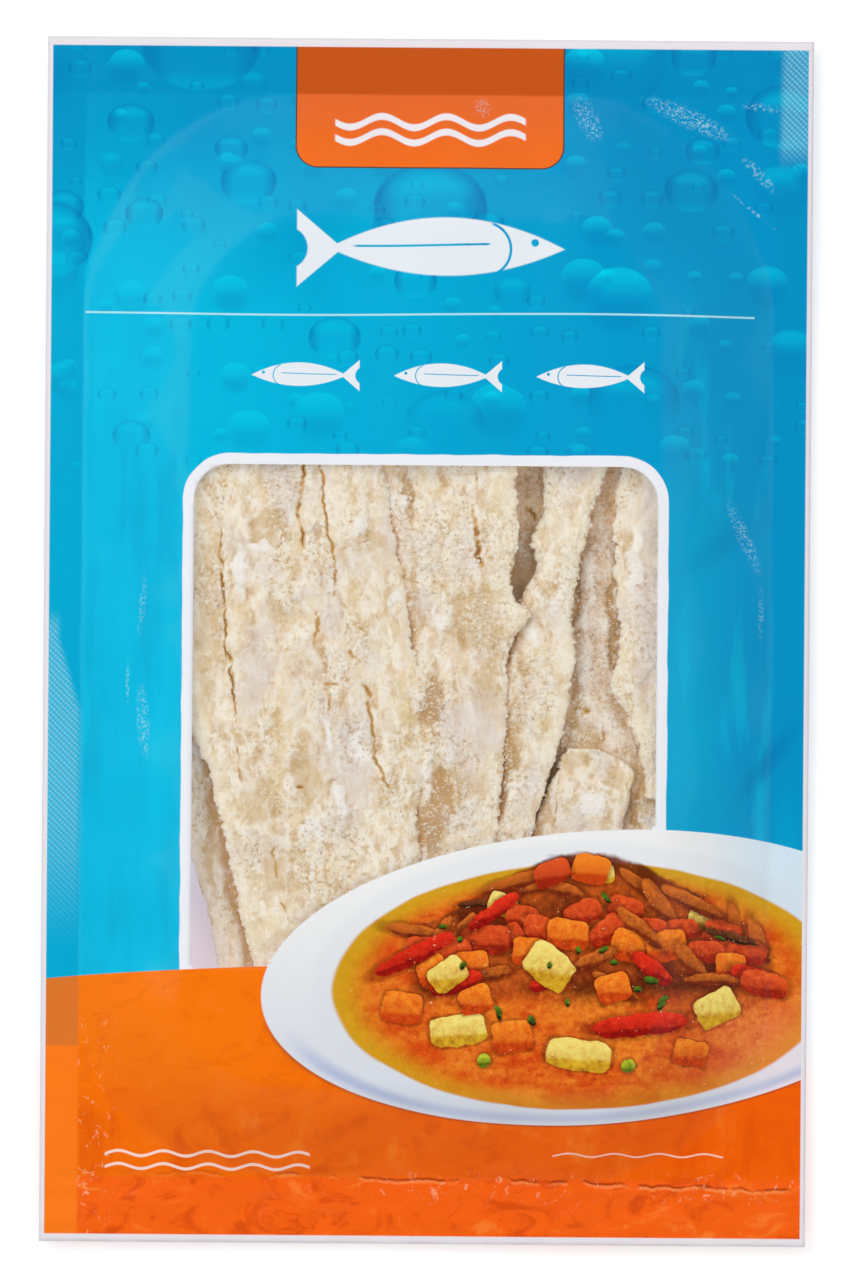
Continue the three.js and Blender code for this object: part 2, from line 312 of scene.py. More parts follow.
class Field:  # a number in a node tree, which arithmetic extends by Math nodes
    def __init__(self, tree, socket):
        self.tree, self.socket = tree, socket

    def math(self, operation, *others):
        node = addNode(self.tree, "ShaderNodeMath", self, *others, settings={"operation": operation})
        return Field(self.tree, node.outputs[0])

    def __add__(self, other):
        return self.math("ADD", other)

    def __sub__(self, other):
        return self.math("SUBTRACT", other)

    def __mul__(self, other):
        return self.math("MULTIPLY", other)

    def __truediv__(self, other):
        return self.math("DIVIDE", other)

    def __pow__(self, other):
        return self.math("POWER", other)

    def __neg__(self):
        return self * -1.0

    def __abs__(self):
        return self.math("ABSOLUTE")

    def most(self, other):
        return self.math("MAXIMUM", other)

    def least(self, other):
        return self.math("MINIMUM", other)

    def rest(self):  # what it leaves of 1
        return self * -1.0 + 1.0

    def step(self, low, high):  # rises smoothly from 0 at low to 1 at high, or falls if low is above high
        down = low > high
        node = addNode(self.tree, "ShaderNodeMapRange", self, min(low, high), max(low, high), float(down),
                       float(not down), settings={"interpolation_type": "SMOOTHSTEP", "clamp": False})
        return Field(self.tree, node.outputs[0])


def hypotenuse(u, v):
    return (u * u + v * v).math("SQRT")


def blend(tree, share, under, over, mode="MIX"):
    node = tree.nodes.new("ShaderNodeMix")
    node.data_type, node.blend_type = "RGBA", mode
    for place, value in ((0, share), (6, under), (7, over)):
        feed(tree, node.inputs[place], value)
    return node.outputs[2]


def inked(tree, under, share, *rgb):  # an ink laid over a colour by a share
    return blend(tree, share, under, ink(*rgb))


def vectorMath(tree, operation, *values, out=0):
    return addNode(tree, "ShaderNodeVectorMath", *values, settings={"operation": operation}).outputs[out]


def stretched(tree, vector, x=1.0, y=1.0, z=1.0):
    return vectorMath(tree, "MULTIPLY", vector, (x, y, z))


def combined(tree, *values):
    return addNode(tree, "ShaderNodeCombineXYZ", *values).outputs[0]


def split(tree, vector):
    return [Field(tree, out) for out in addNode(tree, "ShaderNodeSeparateXYZ", vector).outputs]


def printPoint(tree):  # the point in millimetres, from the object's own coordinates
    where = tree.nodes.new("ShaderNodeTexCoord").outputs["Object"]
    return stretched(tree, where, 1 / mm, 1 / mm, 1 / mm)


def noiseField(tree, vector, scale, detail=3.0, roughness=0.55, distortion=0.0):
    return Field(tree, addNode(tree, "ShaderNodeTexNoise", Vector=vector, Scale=scale, Detail=detail,
                               Roughness=roughness, Distortion=distortion).outputs[0])


def boxField(x, y, left, right, low, high, radius):  # as roundedBoxDistance
    overX = abs(x - (left + right) / 2) - ((right - left) / 2 - radius)
    overY = abs(y - (low + high) / 2) - ((high - low) / 2 - radius)
    outside = hypotenuse(overX.most(0.0), overY.most(0.0))
    return outside + overX.most(overY).least(0.0) - radius


def ovalField(x, y, shape, grow=0.0):  # 1 on the oval, below it inside
    return hypotenuse(*ovalPlace(x, y, shape, grow))


def newGroup(name, inputs, outputs, family="Shader"):  # sockets are given as names with their kinds
    group = bpy.data.node_groups.new(name, family + "NodeTree")
    for direction, sockets in (("INPUT", inputs), ("OUTPUT", outputs)):
        for label, kind in sockets.items():
            group.interface.new_socket(label, in_out=direction, socket_type="NodeSocket" + kind)
    return group, group.nodes.new("NodeGroupInput").outputs, group.nodes.new("NodeGroupOutput").inputs


def printLayer(name, **more):  # a group that prints over a colour, at a point in millimetres
    group, given, out = newGroup(name, {"Point": "Vector", "Under": "Color"}, {"Colour": "Color", **more})
    x, y = split(group, given["Point"])[:2]
    return group, given["Point"], x, y, given["Under"], out


def useGroup(tree, group, **values):
    return addNode(tree, "ShaderNodeGroup", settings={"node_tree": group}, **values).outputs


def newMaterial(name, **constants):
    material = bpy.data.materials.new(name)
    material.use_nodes = True
    shader = material.node_tree.nodes["Principled BSDF"]
    feedNamed(material.node_tree, shader, **constants)
    return material, material.node_tree, shader


def bump(tree, height, distance, strength):
    node = addNode(tree, "ShaderNodeBump", Strength=strength, Distance=distance * mm, Height=height)
    return node.outputs[0]


print("helpers ready")


# The printed film: the drops on the blue
drops = {"squash": 0.82, "smallest": 0.16, "growth": 0.16, "scatter": 0.7}  # as shares of a drop's cell


def dropsGroup():
    group, given, out = newGroup("drops", {"Point": "Vector", "Cell": "Float", "Share": "Float"},
                                 {"Shade": "Float"})
    cell = Field(group, given["Cell"])
    # a node comes after those it reads, so that Cycles frees their values early
    place = vectorMath(group, "DIVIDE", given["Point"], combined(group, cell, cell * drops["squash"], 1.0))
    spots = addNode(group, "ShaderNodeTexVoronoi", settings={"voronoi_dimensions": "2D"}, Vector=place,
                    Scale=1.0, Randomness=drops["scatter"]).outputs
    u, v = split(group, vectorMath(group, "SUBTRACT", place, spots["Position"]))[:2]
    chance, width, tone = split(group, spots["Color"])
    radius = width * drops["growth"] + drops["smallest"]
    u, v = u / radius, v / radius
    reach = hypotenuse(u, v)  # 1 on the drop's rim
    body = reach.step(1.04, 0.96)
    style = tone.step(0.3, 0.6)
    # a cap lit from above, with its shadow below
    cap = v.step(-0.3, 0.85) * body * 0.8
    below = hypotenuse(v + 0.5, u).step(1.2, 0.5) * v.step(0.1, -0.6)
    dome = (cap - below * 0.35) * style.rest()
    # a clear drop: dark sides, a dark line over its top and a lit inside
    sides = abs(u).step(0.45, 0.95) * v.step(0.8, 0.1)
    brow = reach.step(0.84, 0.95) * v.step(-0.2, 0.4)
    lit = reach.step(0.88, 0.6) * v.step(0.1, 0.55)
    glow = v.step(-0.5, -0.95)
    clearDrop = (lit * 0.45 + glow * 0.3 - sides * 0.8 - brow * 0.45) * body * style
    shown = (Field(group, given["Share"]) - chance).step(-0.02, 0.02)
    feed(group, out["Shade"], (dome + clearDrop) * shown)
    return group


# The printed film: all but the bowl
tab = {"left": -31.0, "right": 30.8, "low": 110.0, "high": 152.0, "corner": 5.0, "line": 0.45}
rule = {"y": 75.8, "left": -80.0, "right": 75.8, "thick": 0.45}
borderWidth = 2.5
printEdge = {"side": 87.8, "top": 138.0, "bottom": -138.2}
sharp, soft = 0.15, 0.4  # mm over which an edge of the print fades
backBlueEnd = -94.5  # the seals' backs are orange below this
dropLayers = [  # cell in mm, share of cells with a drop, shift, where they fade out below, and depth
    (44.0, 0.62, 13.0, 46.0, 66.0, 0.9),
    (21.0, 0.6, 71.0, 38.0, 52.0, 0.75),
    (9.0, 0.62, 31.0, 36.0, 44.0, 0.6),
]
foldShadeAndLight = [  # painted shade along soft folds and painted highlight beside them on the blue at the right, with their strength and ink
    (oval(80.0, -27.0, 13.0, 3.0, 52), 0.55, (0, 122, 178)),
    (oval(70.0, 24.0, 16.0, 4.0, 34), 0.4, (0, 134, 188)),
    (oval(84.0, -46.0, 5.0, 14.0, 0), 0.5, (0, 166, 208)),
    (oval(60.0, -20.0, 8.0, 26.0, 0), 0.4, (0, 178, 216)),
]
glints = [  # where the film is crazed and has painted glints, with the strength
    (oval(36.5, 121.5, 2.6, 5.6, 28), 0.8), (oval(60.0, 122.0, 10.5, 2.2, -24), 1.0),
    (oval(77.0, 124.6, 4.5, 1.0, -8), 0.8), (oval(76.5, 109.0, 5.4, 1.3, -46), 0.9),
    (oval(75.0, 100.6, 6.6, 0.4, -39), 0.8), (oval(73.4, 25.0, 1.5, 9.0, 24), 0.8),
    (oval(77.6, 7.0, 0.7, 6.0, 0), 0.7), (oval(-66.0, 8.0, 0.8, 7.5, -5), 0.6),
    (oval(-69.3, -10.0, 0.4, 4.6, 0), 0.9), (oval(-65.6, -19.0, 1.5, 8.0, 4), 0.8),
    (oval(12.0, 124.0, 2.0, 2.4, 30), 0.5),
]
knurl = {"between": 1.0, "along": 0.8}  # spacing of its slanted rows and of the dots in a row


def blueGround():  # blue, brighter to the left, deeper to the upper right
    group, given, out = newGroup("blueGround", {"Point": "Vector"}, {"Colour": "Color"})
    x, y = split(group, given["Point"])[:2]
    cloud = noiseField(group, given["Point"], 0.03, 2.0)
    across = (x + (cloud - 0.5) * 36).step(-84, 84)
    blue = blend(group, across, ink(0, 188, 226), ink(0, 150, 203))
    blue = inked(group, blue, (y + (cloud - 0.5) * 40).step(74, 134) * 0.8, 0, 142, 195)
    nearWindow = (x - 62).step(-16, -4) * (x - 62).step(14, 0) * y.step(50, 20)
    blue = inked(group, blue, nearWindow * 0.35, 0, 182, 219)
    # the seals look darker through the second film, and the slack film has soft upright bands of painted
    # shade and painted highlight on its slopes
    seal = abs(x).step(sealLeft - 0.5, sealLeft + 0.4).most(y.step(sealUpper - 0.3, sealUpper + 0.3))
    blue = inked(group, blue, seal * 0.4, 0, 142, 192)
    bands = noiseField(group, stretched(group, given["Point"], 1.0, 0.16), 0.13, 3.0)
    slack = abs(x).step(52, 60) * abs(x).step(82, 78) * y.step(88, 60)
    blue = inked(group, blue, bands.step(0.5, 0.7) * slack * 0.4, 0, 158, 205)
    blue = inked(group, blue, bands.step(0.48, 0.3) * slack * 0.4, 0, 200, 234)
    # painted fold shade and painted highlight
    for place, strength, colour in foldShadeAndLight:
        blue = inked(group, blue, ovalField(x, y, place).step(1.2, 0.1) * strength, *colour)
    feed(group, out["Colour"], blue)
    return group


def waveLine(x, y, middle, slow, tall, thick):  # a printed wavy line
    return abs(y - middle - (x * slow).math("SINE") * tall).step(thick * 1.25, thick * 0.75)


def fishFigure(x, y, middleX, middleY, length, facing):  # a plain fish: a lens, a fan tail, a gill and an eye
    u = (x - middleX) * (facing / (length / 2))
    v = (y - middleY) / (length / 2)
    back = v - (u * u * -0.30 + 0.235)
    belly = (u * u * 0.26 - 0.20) - v
    body = back.most(belly)
    tail = abs(v) - ((-u - 0.78) * 0.85)
    tail = tail.most(-u - 1.12).most(u + 0.72)
    tail = tail.most(hypotenuse(u + 1.2, v) * -1.0 + 0.16)
    shape = body.least(tail).step(0.008, -0.008)
    gill = abs(hypotenuse(u - 0.28, v) - 0.2).step(0.014, 0.006) * u.step(0.32, 0.36)
    side = abs(v - 0.03 - (u * 2.6).math("SINE") * 0.012).step(0.012, 0.005)
    side = side * u.step(0.34, 0.3) * u.step(-0.72, -0.66)
    eye = hypotenuse(u - 0.66, v - 0.05).step(0.034, 0.024)
    return shape * gill.most(side).most(eye).rest()


def knurlDots(x, y):  # 0 to 1, rows of dots that fall to the right
    turned = math.tau / math.sqrt(2)
    rows = ((x + y) * (turned / knurl["between"])).math("SINE")
    dots = ((x - y) * (turned / knurl["along"])).math("SINE")
    return (rows * 0.5 + 0.5) * (dots * 0.35 + 0.65)


def knurlLit(x, y):  # the parts of the knurled seals that get a painted highlight
    edge = (y * -0.3).most(0.0).least(5.0) - 85.6
    left = (x - edge).step(1.0, -1.0) * y.step(7, 2) * y.step(-74, -34)
    corner = (x - (y - 112) * 0.02).step(80.4, 82.6) * y.step(110, 117)
    return left.most(corner)


def upperPrint(dropGroup):
    group, point, x, y, colour, out = printLayer("upperPrint")
    shade = None
    for cell, share, shift, low, high, depth in dropLayers:
        moved = vectorMath(group, "ADD", point, (shift, 2.3 * shift, 0))
        found = Field(group, useGroup(group, dropGroup, Point=moved, Cell=cell, Share=share)[0])
        part = found * (y.step(low, high) * depth)
        shade = part if shade is None else shade + part
    colour = inked(group, colour, shade * -0.8, 0, 112, 176)
    colour = inked(group, colour, shade.most(0.0) * 0.75, 0, 212, 240)
    # the fish figures and the rule between them; three small figures are drawn as one that repeats
    white, spacing, middle = (232, 238, 244), 33.0, 3.0
    colour = inked(group, colour, fishFigure(x, y, 4.0, 91.0, 62.0, 1.0), *white)
    folded = (x - middle).math("WRAP", spacing / 2, -spacing / 2)
    small = fishFigure(folded, y, 0.0, 61.5, 25.0, -1.0)
    small = small * abs(x - middle).step(1.5 * spacing, 1.5 * spacing - 1)
    colour = inked(group, colour, small, *white)
    line = waveLine(x, y, rule["y"], 0.045, 0.35, rule["thick"] / 2)
    line = line * x.step(rule["left"], rule["left"] + soft) * x.step(rule["right"], rule["right"] - soft)
    colour = inked(group, colour, line * 0.85, 190, 236, 244)
    # the tab, with a thin dark line round it
    box = boxField(x, y, tab["left"], tab["right"], tab["low"], tab["high"], tab["corner"])
    orange = blend(group, y.step(tab["low"], sealUpper), ink(240, 108, 24), ink(230, 104, 38))
    orange = inked(group, orange, y.step(sealUpper - 0.3, sealUpper + 0.3), 200, 86, 24)
    for middle in (120.6, 117.0):
        wave = waveLine(x, y, middle, 0.42, 1.3, 0.8) * abs(x).step(22.4, 21.8)
        orange = inked(group, orange, wave, 236, 232, 236)
    colour = inked(group, colour, box.step(tab["line"], tab["line"] - 0.25), 74, 62, 60)
    feed(group, out["Colour"], blend(group, box.step(0.1, -0.1), colour, orange))
    return group


def paintedGlints():  # painted glints of the crazed film and painted highlights on the knurled seals
    group, point, x, y, colour, out = printLayer("paintedGlints")
    glint = None
    for place, strength in glints:
        found = ovalField(x, y, place).step(1.25, 0.5) * strength
        glint = found if glint is None else glint.most(found)
    # painted glints: light specks in the crazed places
    grain = noiseField(group, point, 1.5, 3.0, 0.7).step(0.5, 0.6)
    colour = inked(group, colour, glint * grain * 0.6, 176, 224, 238)
    # painted highlight on the lit parts of the knurl, and on its dots
    lit = knurlLit(x, y)
    colour = inked(group, colour, lit * 0.18, 120, 206, 226)
    colour = inked(group, colour, knurlDots(x, y) * lit * 0.6, 164, 224, 236)
    feed(group, out["Colour"], colour)
    return group


def borderPrint():  # the window's border, and where the unprinted edge is
    group, point, x, y, colour, out = printLayer("borderPrint", Margin="Float")
    wavy = noiseField(group, point, 0.12, 1.0) - 0.5
    box = boxField(x, y, windowLeft, windowRight, -packLength / 2, windowTop, windowCorner) - wavy * 0.6
    colour = inked(group, colour, box.step(borderWidth + 0.12, borderWidth - 0.12), 238, 240, 246)
    margin = abs(x).step(printEdge["side"] - sharp, printEdge["side"] + sharp)
    margin = margin.most(y.step(printEdge["top"] - sharp, printEdge["top"] + sharp))
    margin = margin.most(y.step(printEdge["bottom"] + sharp, printEdge["bottom"] - sharp))
    feed(group, out["Colour"], colour)
    feed(group, out["Margin"], margin)
    return group


def bandPrint():  # the orange band, with painted shade and highlights where it is crumpled along the bottom seal
    group, point, x, y, under, out = printLayer("bandPrint")
    cloud = noiseField(group, point, 0.03, 2.0)
    edge = y + (x - bandMiddle) * (x - bandMiddle) * bandSag - bandTop
    warm = blend(group, (x + (cloud - 0.5) * 60).step(-80, 80), ink(251, 122, 6), ink(245, 97, 2))
    warm = inked(group, warm, y.step(-96, -112) * 0.45, 242, 96, 2)
    warm = inked(group, warm, y.step(sealLower + soft, sealLower - soft) * 0.8, 250, 98, 20)
    # painted shade and painted highlight of the crumpled film, strongest on the bottom seal
    crumple = noiseField(group, stretched(group, point, 1.0, 1.6), 0.085, 4.0, 0.62, 1.2)
    inSeal = y.step(sealLower + 1.5, sealLower - 1.5) * 0.6 + 0.25
    warm = inked(group, warm, crumple.step(0.5, 0.36) * inSeal * 0.7, 206, 66, 8)
    warm = inked(group, warm, crumple.step(0.56, 0.72) * inSeal * 0.7, 255, 138, 52)
    # painted highlight and painted shade of soft upright folds above the bottom seal
    upright = noiseField(group, stretched(group, point, 1.0, 0.3), 0.12, 3.0, 0.5)
    low = y.step(-104, -112) * y.step(sealLower - 0.5, sealLower + 1.5)
    warm = inked(group, warm, upright.step(0.54, 0.72) * low * 0.45, 255, 142, 44)
    warm = inked(group, warm, upright.step(0.46, 0.3) * low * 0.4, 212, 72, 4)
    # painted shade in the creases along the bottom seal's upper edge with a painted highlight beside it, and
    # painted glints beside the left seal and on the bottom seal
    wander = noiseField(group, stretched(group, point, 1.0, 0.0), 0.09, 4.0, 0.6)
    seam = y - sealLower - (wander - 0.5) * 5.0 + x * 0.02
    broken = noiseField(group, point, 0.16, 3.0).step(0.44, 0.56) * (x + 30).step(-60, 40)
    warm = inked(group, warm, abs(seam).step(0.5, 0.12) * broken * 0.75, 150, 44, 10)
    warm = inked(group, warm, abs(seam + 0.6).step(0.6, 0.15) * broken * 0.5, 255, 160, 90)
    spark = noiseField(group, stretched(group, point, 1.0, 0.7), 0.5, 3.0, 0.7, 1.0).step(0.6, 0.68)
    beside = abs(x + 76.5).step(6.5, 1.5) * y.step(-84, -92)
    onSeam = abs(y - sealLower + 2.0).step(5.0, 1.0) * (x - 10).step(-50, 0)
    warm = inked(group, warm, spark * beside.most(onSeam * 0.8) * 0.6, 255, 200, 160)
    leftStrip = x.step(-sealLeft + soft, -sealLeft - soft)
    strip = blend(group, y.step(backBlueEnd + 0.2, backBlueEnd - 0.3), ink(220, 120, 46), ink(255, 126, 26))
    warm = blend(group, leftStrip * 0.9, warm, strip)
    for middle in (-119.4, -122.4):  # two wavy lines at its lower left and a short one at its lower right
        lines = waveLine(x, y, middle, 0.6, 0.6, 0.34) * abs(x + 50).step(24, 23.6)
        warm = inked(group, warm, lines * 0.9, 248, 226, 216)
    short = waveLine(x, y, -119.0, 0.6, 0.4, 0.2) * abs(x - 50).step(20, 19.6)
    warm = inked(group, warm, short * 0.8, 248, 216, 204)
    feed(group, out["Colour"], blend(group, edge.step(0.12, -0.12), under, warm))
    return group


# The printed film: the serving picture, a generic stew in an oval bowl
broth = oval(37.0, -79.6, 58.2, 28.6, 1.6)
foods = {  # light side, dark side, squareness of the outline
    "carrot": (ink(244, 132, 34), ink(198, 66, 12), 5.0),
    "fish": (ink(244, 220, 118), ink(206, 156, 34), 5.0),
    "pepper": (ink(226, 48, 24), ink(150, 16, 8), 2.6),
    "tomato": (ink(224, 84, 34), ink(162, 36, 12), 3.4),
    "onion": (ink(204, 104, 34), ink(122, 44, 12), 2.2),
    "skin": (ink(112, 58, 26), ink(52, 22, 10), 2.0),
    "pea": (ink(176, 190, 44), ink(92, 110, 14), 2.0),
    "herb": (ink(84, 122, 26), ink(26, 42, 8), 2.2),
}
heap = {"x": 38.0, "halfWidth": 43.0, "base": -80.0, "shoulder": 14.0, "peak": 17.5, "count": 46, "herbs": 16}
heapKinds = [  # half width, half height and the most it is turned
    ("onion", 6.6, 1.5, 40), ("tomato", 4.6, 3.2, 40), ("carrot", 3.8, 3.4, 20), ("onion", 5.6, 1.4, 60),
    ("tomato", 5.2, 2.6, 50), ("pepper", 6.0, 2.0, 40), ("onion", 6.0, 1.8, 60), ("carrot", 4.0, 3.0, 30),
    ("skin", 4.4, 0.9, 20), ("tomato", 4.8, 3.0, 30), ("onion", 5.0, 1.6, 70), ("fish", 3.4, 2.6, 40),
    ("tomato", 4.2, 2.4, 60),
]
laidPieces = [  # the larger pieces round the heap: kind, middle, half sizes and turn in degrees
    ("pepper", -2.0, -72.5, 10.0, 2.0, 27), ("fish", 8.0, -90.0, 6.4, 3.6, 8),
    ("carrot", 20.5, -91.5, 4.6, 3.8, 8), ("fish", 36.0, -95.5, 7.4, 3.6, -8),
    ("carrot", -5.0, -85.0, 4.6, 3.6, -6), ("pepper", 50.0, -88.5, 11.0, 2.6, 6),
    ("fish", 68.0, -84.5, 5.0, 3.8, 28), ("carrot", 62.0, -95.0, 4.0, 3.0, -12),
    ("pea", 47.5, -98.0, 1.6, 1.5, 0), ("fish", 29.0, -75.0, 5.6, 4.2, -38),
    ("tomato", 79.0, -79.0, 5.6, 2.8, -14), ("pea", 14.0, -97.0, 1.6, 1.5, 0),
    ("fish", 5.5, -77.0, 4.4, 3.2, 34), ("carrot", 44.0, -80.0, 4.0, 3.3, 18),
    ("carrot", 12.0, -83.0, 3.8, 3.2, 20), ("carrot", 38.5, -52.5, 4.2, 3.4, -12),
    ("tomato", 29.5, -53.5, 4.4, 2.8, 24), ("pepper", 16.0, -62.5, 7.0, 1.7, 36),
    ("onion", 62.0, -60.0, 8.0, 1.7, -28), ("skin", 71.0, -68.0, 7.0, 1.1, -16),
    ("onion", 50.0, -66.0, 7.0, 1.6, -42),
]
evenly = 0.618034  # steps that fill a range evenly in any number
push = {"reach": 1.5, "scale": 0.3}  # how far the outlines are pushed about, in mm, and how finely


def morselGroup():  # one piece over what is under it; the rows turn a point (x, y, 1) into its own frame
    group, given, out = newGroup("morsel", {
        "Under": "Color", "Point": "Vector", "RowU": "Vector", "RowV": "Vector", "RowUp": "Vector",
        "Square": "Float", "Light": "Color", "Dark": "Color"}, {"Colour": "Color"})

    def along(row):
        return Field(group, vectorMath(group, "DOT_PRODUCT", given["Point"], given[row], out="Value"))

    square = Field(group, given["Square"])
    reach = abs(along("RowU")) ** square + abs(along("RowV")) ** square
    under = inked(group, given["Under"], reach.step(2.8, 0.95) * 0.5, 96, 24, 4)
    up = along("RowUp")
    face = blend(group, up.step(-0.48, -0.12), given["Dark"], given["Light"])
    face = blend(group, up.step(0.9, -0.2) * 0.4, face, given["Dark"])
    feed(group, out["Colour"], blend(group, reach.step(1.12, 0.9), under, face))
    return group


def morselRows(px, py, wide, high, turn):
    c, s = math.cos(turn), math.sin(turn)
    u = (c / wide, s / wide, -(c * px + s * py) / wide)
    v = (-s / high, c / high, (s * px - c * py) / high)
    return {"RowU": u, "RowV": v, "RowUp": tuple(s * a + c * b for a, b in zip(u, v))}


def servingMorsels():  # back to front: a heap of small pieces, then larger ones round it, then herbs
    pieces = []
    chance = np.random.default_rng(11)
    for i in range(heap["count"]):
        u = 1.9 * (i + chance.uniform(0.2, 0.8)) / heap["count"] - 0.95
        share = (i * evenly + chance.uniform(-0.06, 0.06)) % 1
        tall = heap["shoulder"] + heap["peak"] * (1 - u * u) ** 2 - 1.5
        kind, wide, high, turn = heapKinds[i % len(heapKinds)]
        grow = chance.uniform(0.8, 1.2)
        pieces.append((kind, heap["x"] + heap["halfWidth"] * u, heap["base"] + tall * share, wide * grow,
                       high * grow, chance.uniform(-turn, turn) - 30 * u))
    pieces.sort(key=lambda piece: -piece[2])
    pieces += laidPieces
    for i in range(heap["herbs"]):
        angle, reach = chance.uniform(0, 2 * math.pi), chance.uniform(0, 1) ** 0.5
        pieces.append(("herb", 34 + 36 * reach * math.cos(angle), -73 + 17 * reach * math.sin(angle),
                       chance.uniform(0.8, 1.9), chance.uniform(0.4, 0.8), chance.uniform(-90, 90)))
    return pieces


def bowlColour(tree, x, y, colour):  # white with cool shade, a lavender line under its lower rim
    rim = ovalField(x, y, bowl)
    china = blend(tree, (y + x * 0.1).step(-112, -56), ink(216, 220, 229), ink(240, 241, 241))
    china = inked(tree, china, x.step(60, 92) * y.step(-74, -88) * 0.7, 244, 220, 230)
    china = inked(tree, china, x.step(58, 84) * y.step(-76, -60) * 0.6, 190, 222, 242)
    lowLine = rim.step(0.90, 0.955) * rim.step(1.0, 0.955) * (y - x * 0.076).step(-86, -100)
    china = inked(tree, china, lowLine * 0.75, 164, 178, 214)
    china = inked(tree, china, ovalField(x, y, broth, 4.5).step(1.04, 0.97) * 0.3, 214, 220, 230)
    colour = inked(tree, colour, rim.step(1.022, 1.002) * y.step(-84, -96) * 0.6, 150, 70, 40)
    return blend(tree, rim.step(1.004, 0.998), colour, china)


def stewColour(tree, point, x, y, colour):
    # the broth: orange, golden towards its rim
    wavy = noiseField(tree, point, 0.07, 1.0)
    level = ovalField(x, y, broth) + (wavy - 0.5) * 0.03
    soup = blend(tree, noiseField(tree, stretched(tree, point, 1.0, 2.2), 0.09, 4.0).step(0.35, 0.65),
                 ink(214, 76, 16), ink(232, 124, 34))
    soup = inked(tree, soup, x.step(52, 84) * y.step(-76, -92) * 0.5, 236, 128, 84)
    golden = (x.step(40, -24).most(y.step(-94, -70)) * 0.55 + 0.35) * level.step(0.82, 0.98)
    soup = inked(tree, soup, golden, 210, 162, 28)
    colour = blend(tree, level.step(1.012, 0.99), colour, soup)
    # the pieces, on a point that is pushed about a little so that no outline is exact
    reach = push["reach"]
    pushing = addNode(tree, "ShaderNodeTexNoise", Scale=push["scale"], Detail=2.0, Vector=point)
    pushed = vectorMath(tree, "MULTIPLY_ADD", pushing.outputs["Color"], (reach, reach, 0), point)
    pushedX, pushedY = (place - reach / 2 for place in split(tree, pushed)[:2])
    flat = combined(tree, pushedX, pushedY, 1.0)  # the pieces are laid out at a height of 1
    # what lies behind the heap's pieces
    u = (pushedX - heap["x"]) / heap["halfWidth"]
    bow = (u * u).rest().most(0.0)
    moundTop = bow * bow * heap["peak"] + (heap["base"] + heap["shoulder"])
    mound = (pushedY - moundTop).step(0.4, -0.8) * abs(u).step(1.0, 0.86) * pushedY.step(-86, -79)
    behind = blend(tree, wavy.step(0.38, 0.56), ink(96, 34, 8), ink(176, 76, 22))
    colour = blend(tree, mound * 0.95, colour, behind)
    morsel = morselGroup()
    for kind, px, py, wide, high, turn in servingMorsels():
        light, dark, square = foods[kind]
        rows = morselRows(px, py, wide, high, math.radians(turn))
        colour = useGroup(tree, morsel, Under=colour, Point=flat, Square=square, Light=light, Dark=dark,
                          **rows)[0]
    # grain, oil, depth between the pieces and small wet highlights
    inBroth = ovalField(x, y, broth).step(1.0, 0.96).most(mound)
    rough = inBroth * (level.step(0.98, 0.72) * 0.8 + 0.2)
    grain = noiseField(tree, point, 0.6, 4.0, 0.7, 0.4)
    colour = blend(tree, rough * 0.5, colour, grain.step(0.3, 0.7) * 0.7 + 0.12, "OVERLAY")
    colour = inked(tree, colour, grain.step(0.6, 0.76) * rough * 0.25, 250, 186, 84)
    colour = inked(tree, colour, grain.step(0.4, 0.26) * rough * 0.4, 92, 26, 6)
    wet = noiseField(tree, point, 1.5, 2.0, 0.5)
    return inked(tree, colour, wet.step(0.7, 0.77) * inBroth * 0.55, 255, 226, 180)


# The printed film: gloss and fine relief
def reliefGroup():  # heights of the knurled seals and of fine crinkles, in millimetres
    group, given, out = newGroup("filmRelief", {"Point": "Vector"}, {"Knurl": "Float", "Crinkle": "Float"})
    point = given["Point"]
    x, y = split(group, point)[:2]
    onSide = abs(x).step(sealLeft - 0.2, sealLeft + 0.5) * abs(x).step(88.2, 87.4)
    onTop = y.step(sealUpper - 0.2, sealUpper + 0.5)
    patch = noiseField(group, point, 0.035, 2.0).step(0.4, 0.62)
    feed(group, out["Knurl"], knurlDots(x, y) * onSide.most(onTop) * patch)
    ridged = abs(noiseField(group, point, 0.22, 4.0, 0.62, 0.6) - 0.5) * -2.0 + 1.0
    broad = noiseField(group, point, 0.06, 3.0, 0.5)
    feed(group, out["Crinkle"], ridged * 0.35 + broad)
    return group


filmBlue, filmUpper, filmGlints = blueGround(), upperPrint(dropsGroup()), paintedGlints()
filmBorder, filmBand, filmRelief = borderPrint(), bandPrint(), reliefGroup()


def filmMaterial(name, *parts):  # the print, without the parts that lie elsewhere on the pouch
    material, tree, shader = newMaterial(name, Roughness=0.4, Specular_IOR_Level=0.06, Coat_Weight=0.08,
                                         Coat_Roughness=0.1)
    point = printPoint(tree)
    colour = useGroup(tree, filmBlue, Point=point)[0]
    for part, group in (("upper", filmUpper), ("glints", filmGlints)):
        if part in parts:
            colour = useGroup(tree, group, Point=point, Under=colour)[0]
    colour, margin = useGroup(tree, filmBorder, Point=point, Under=colour)
    if "band" in parts:
        colour = useGroup(tree, filmBand, Point=point, Under=colour)[0]
    if "bowl" in parts:
        x, y = split(tree, point)[:2]
        colour = bowlColour(tree, x, y, colour)
    if "food" in parts:
        colour = stewColour(tree, point, x, y, colour)
    colour = inked(tree, colour, margin, 234, 229, 234)
    feed(tree, shader.inputs["Base Color"], colour)
    relief = useGroup(tree, filmRelief, Point=point)
    heights = Field(tree, relief["Crinkle"]) + Field(tree, relief["Knurl"]) * 0.26
    feed(tree, shader.inputs["Normal"], bump(tree, heights, 0.42, 0.55))
    return material


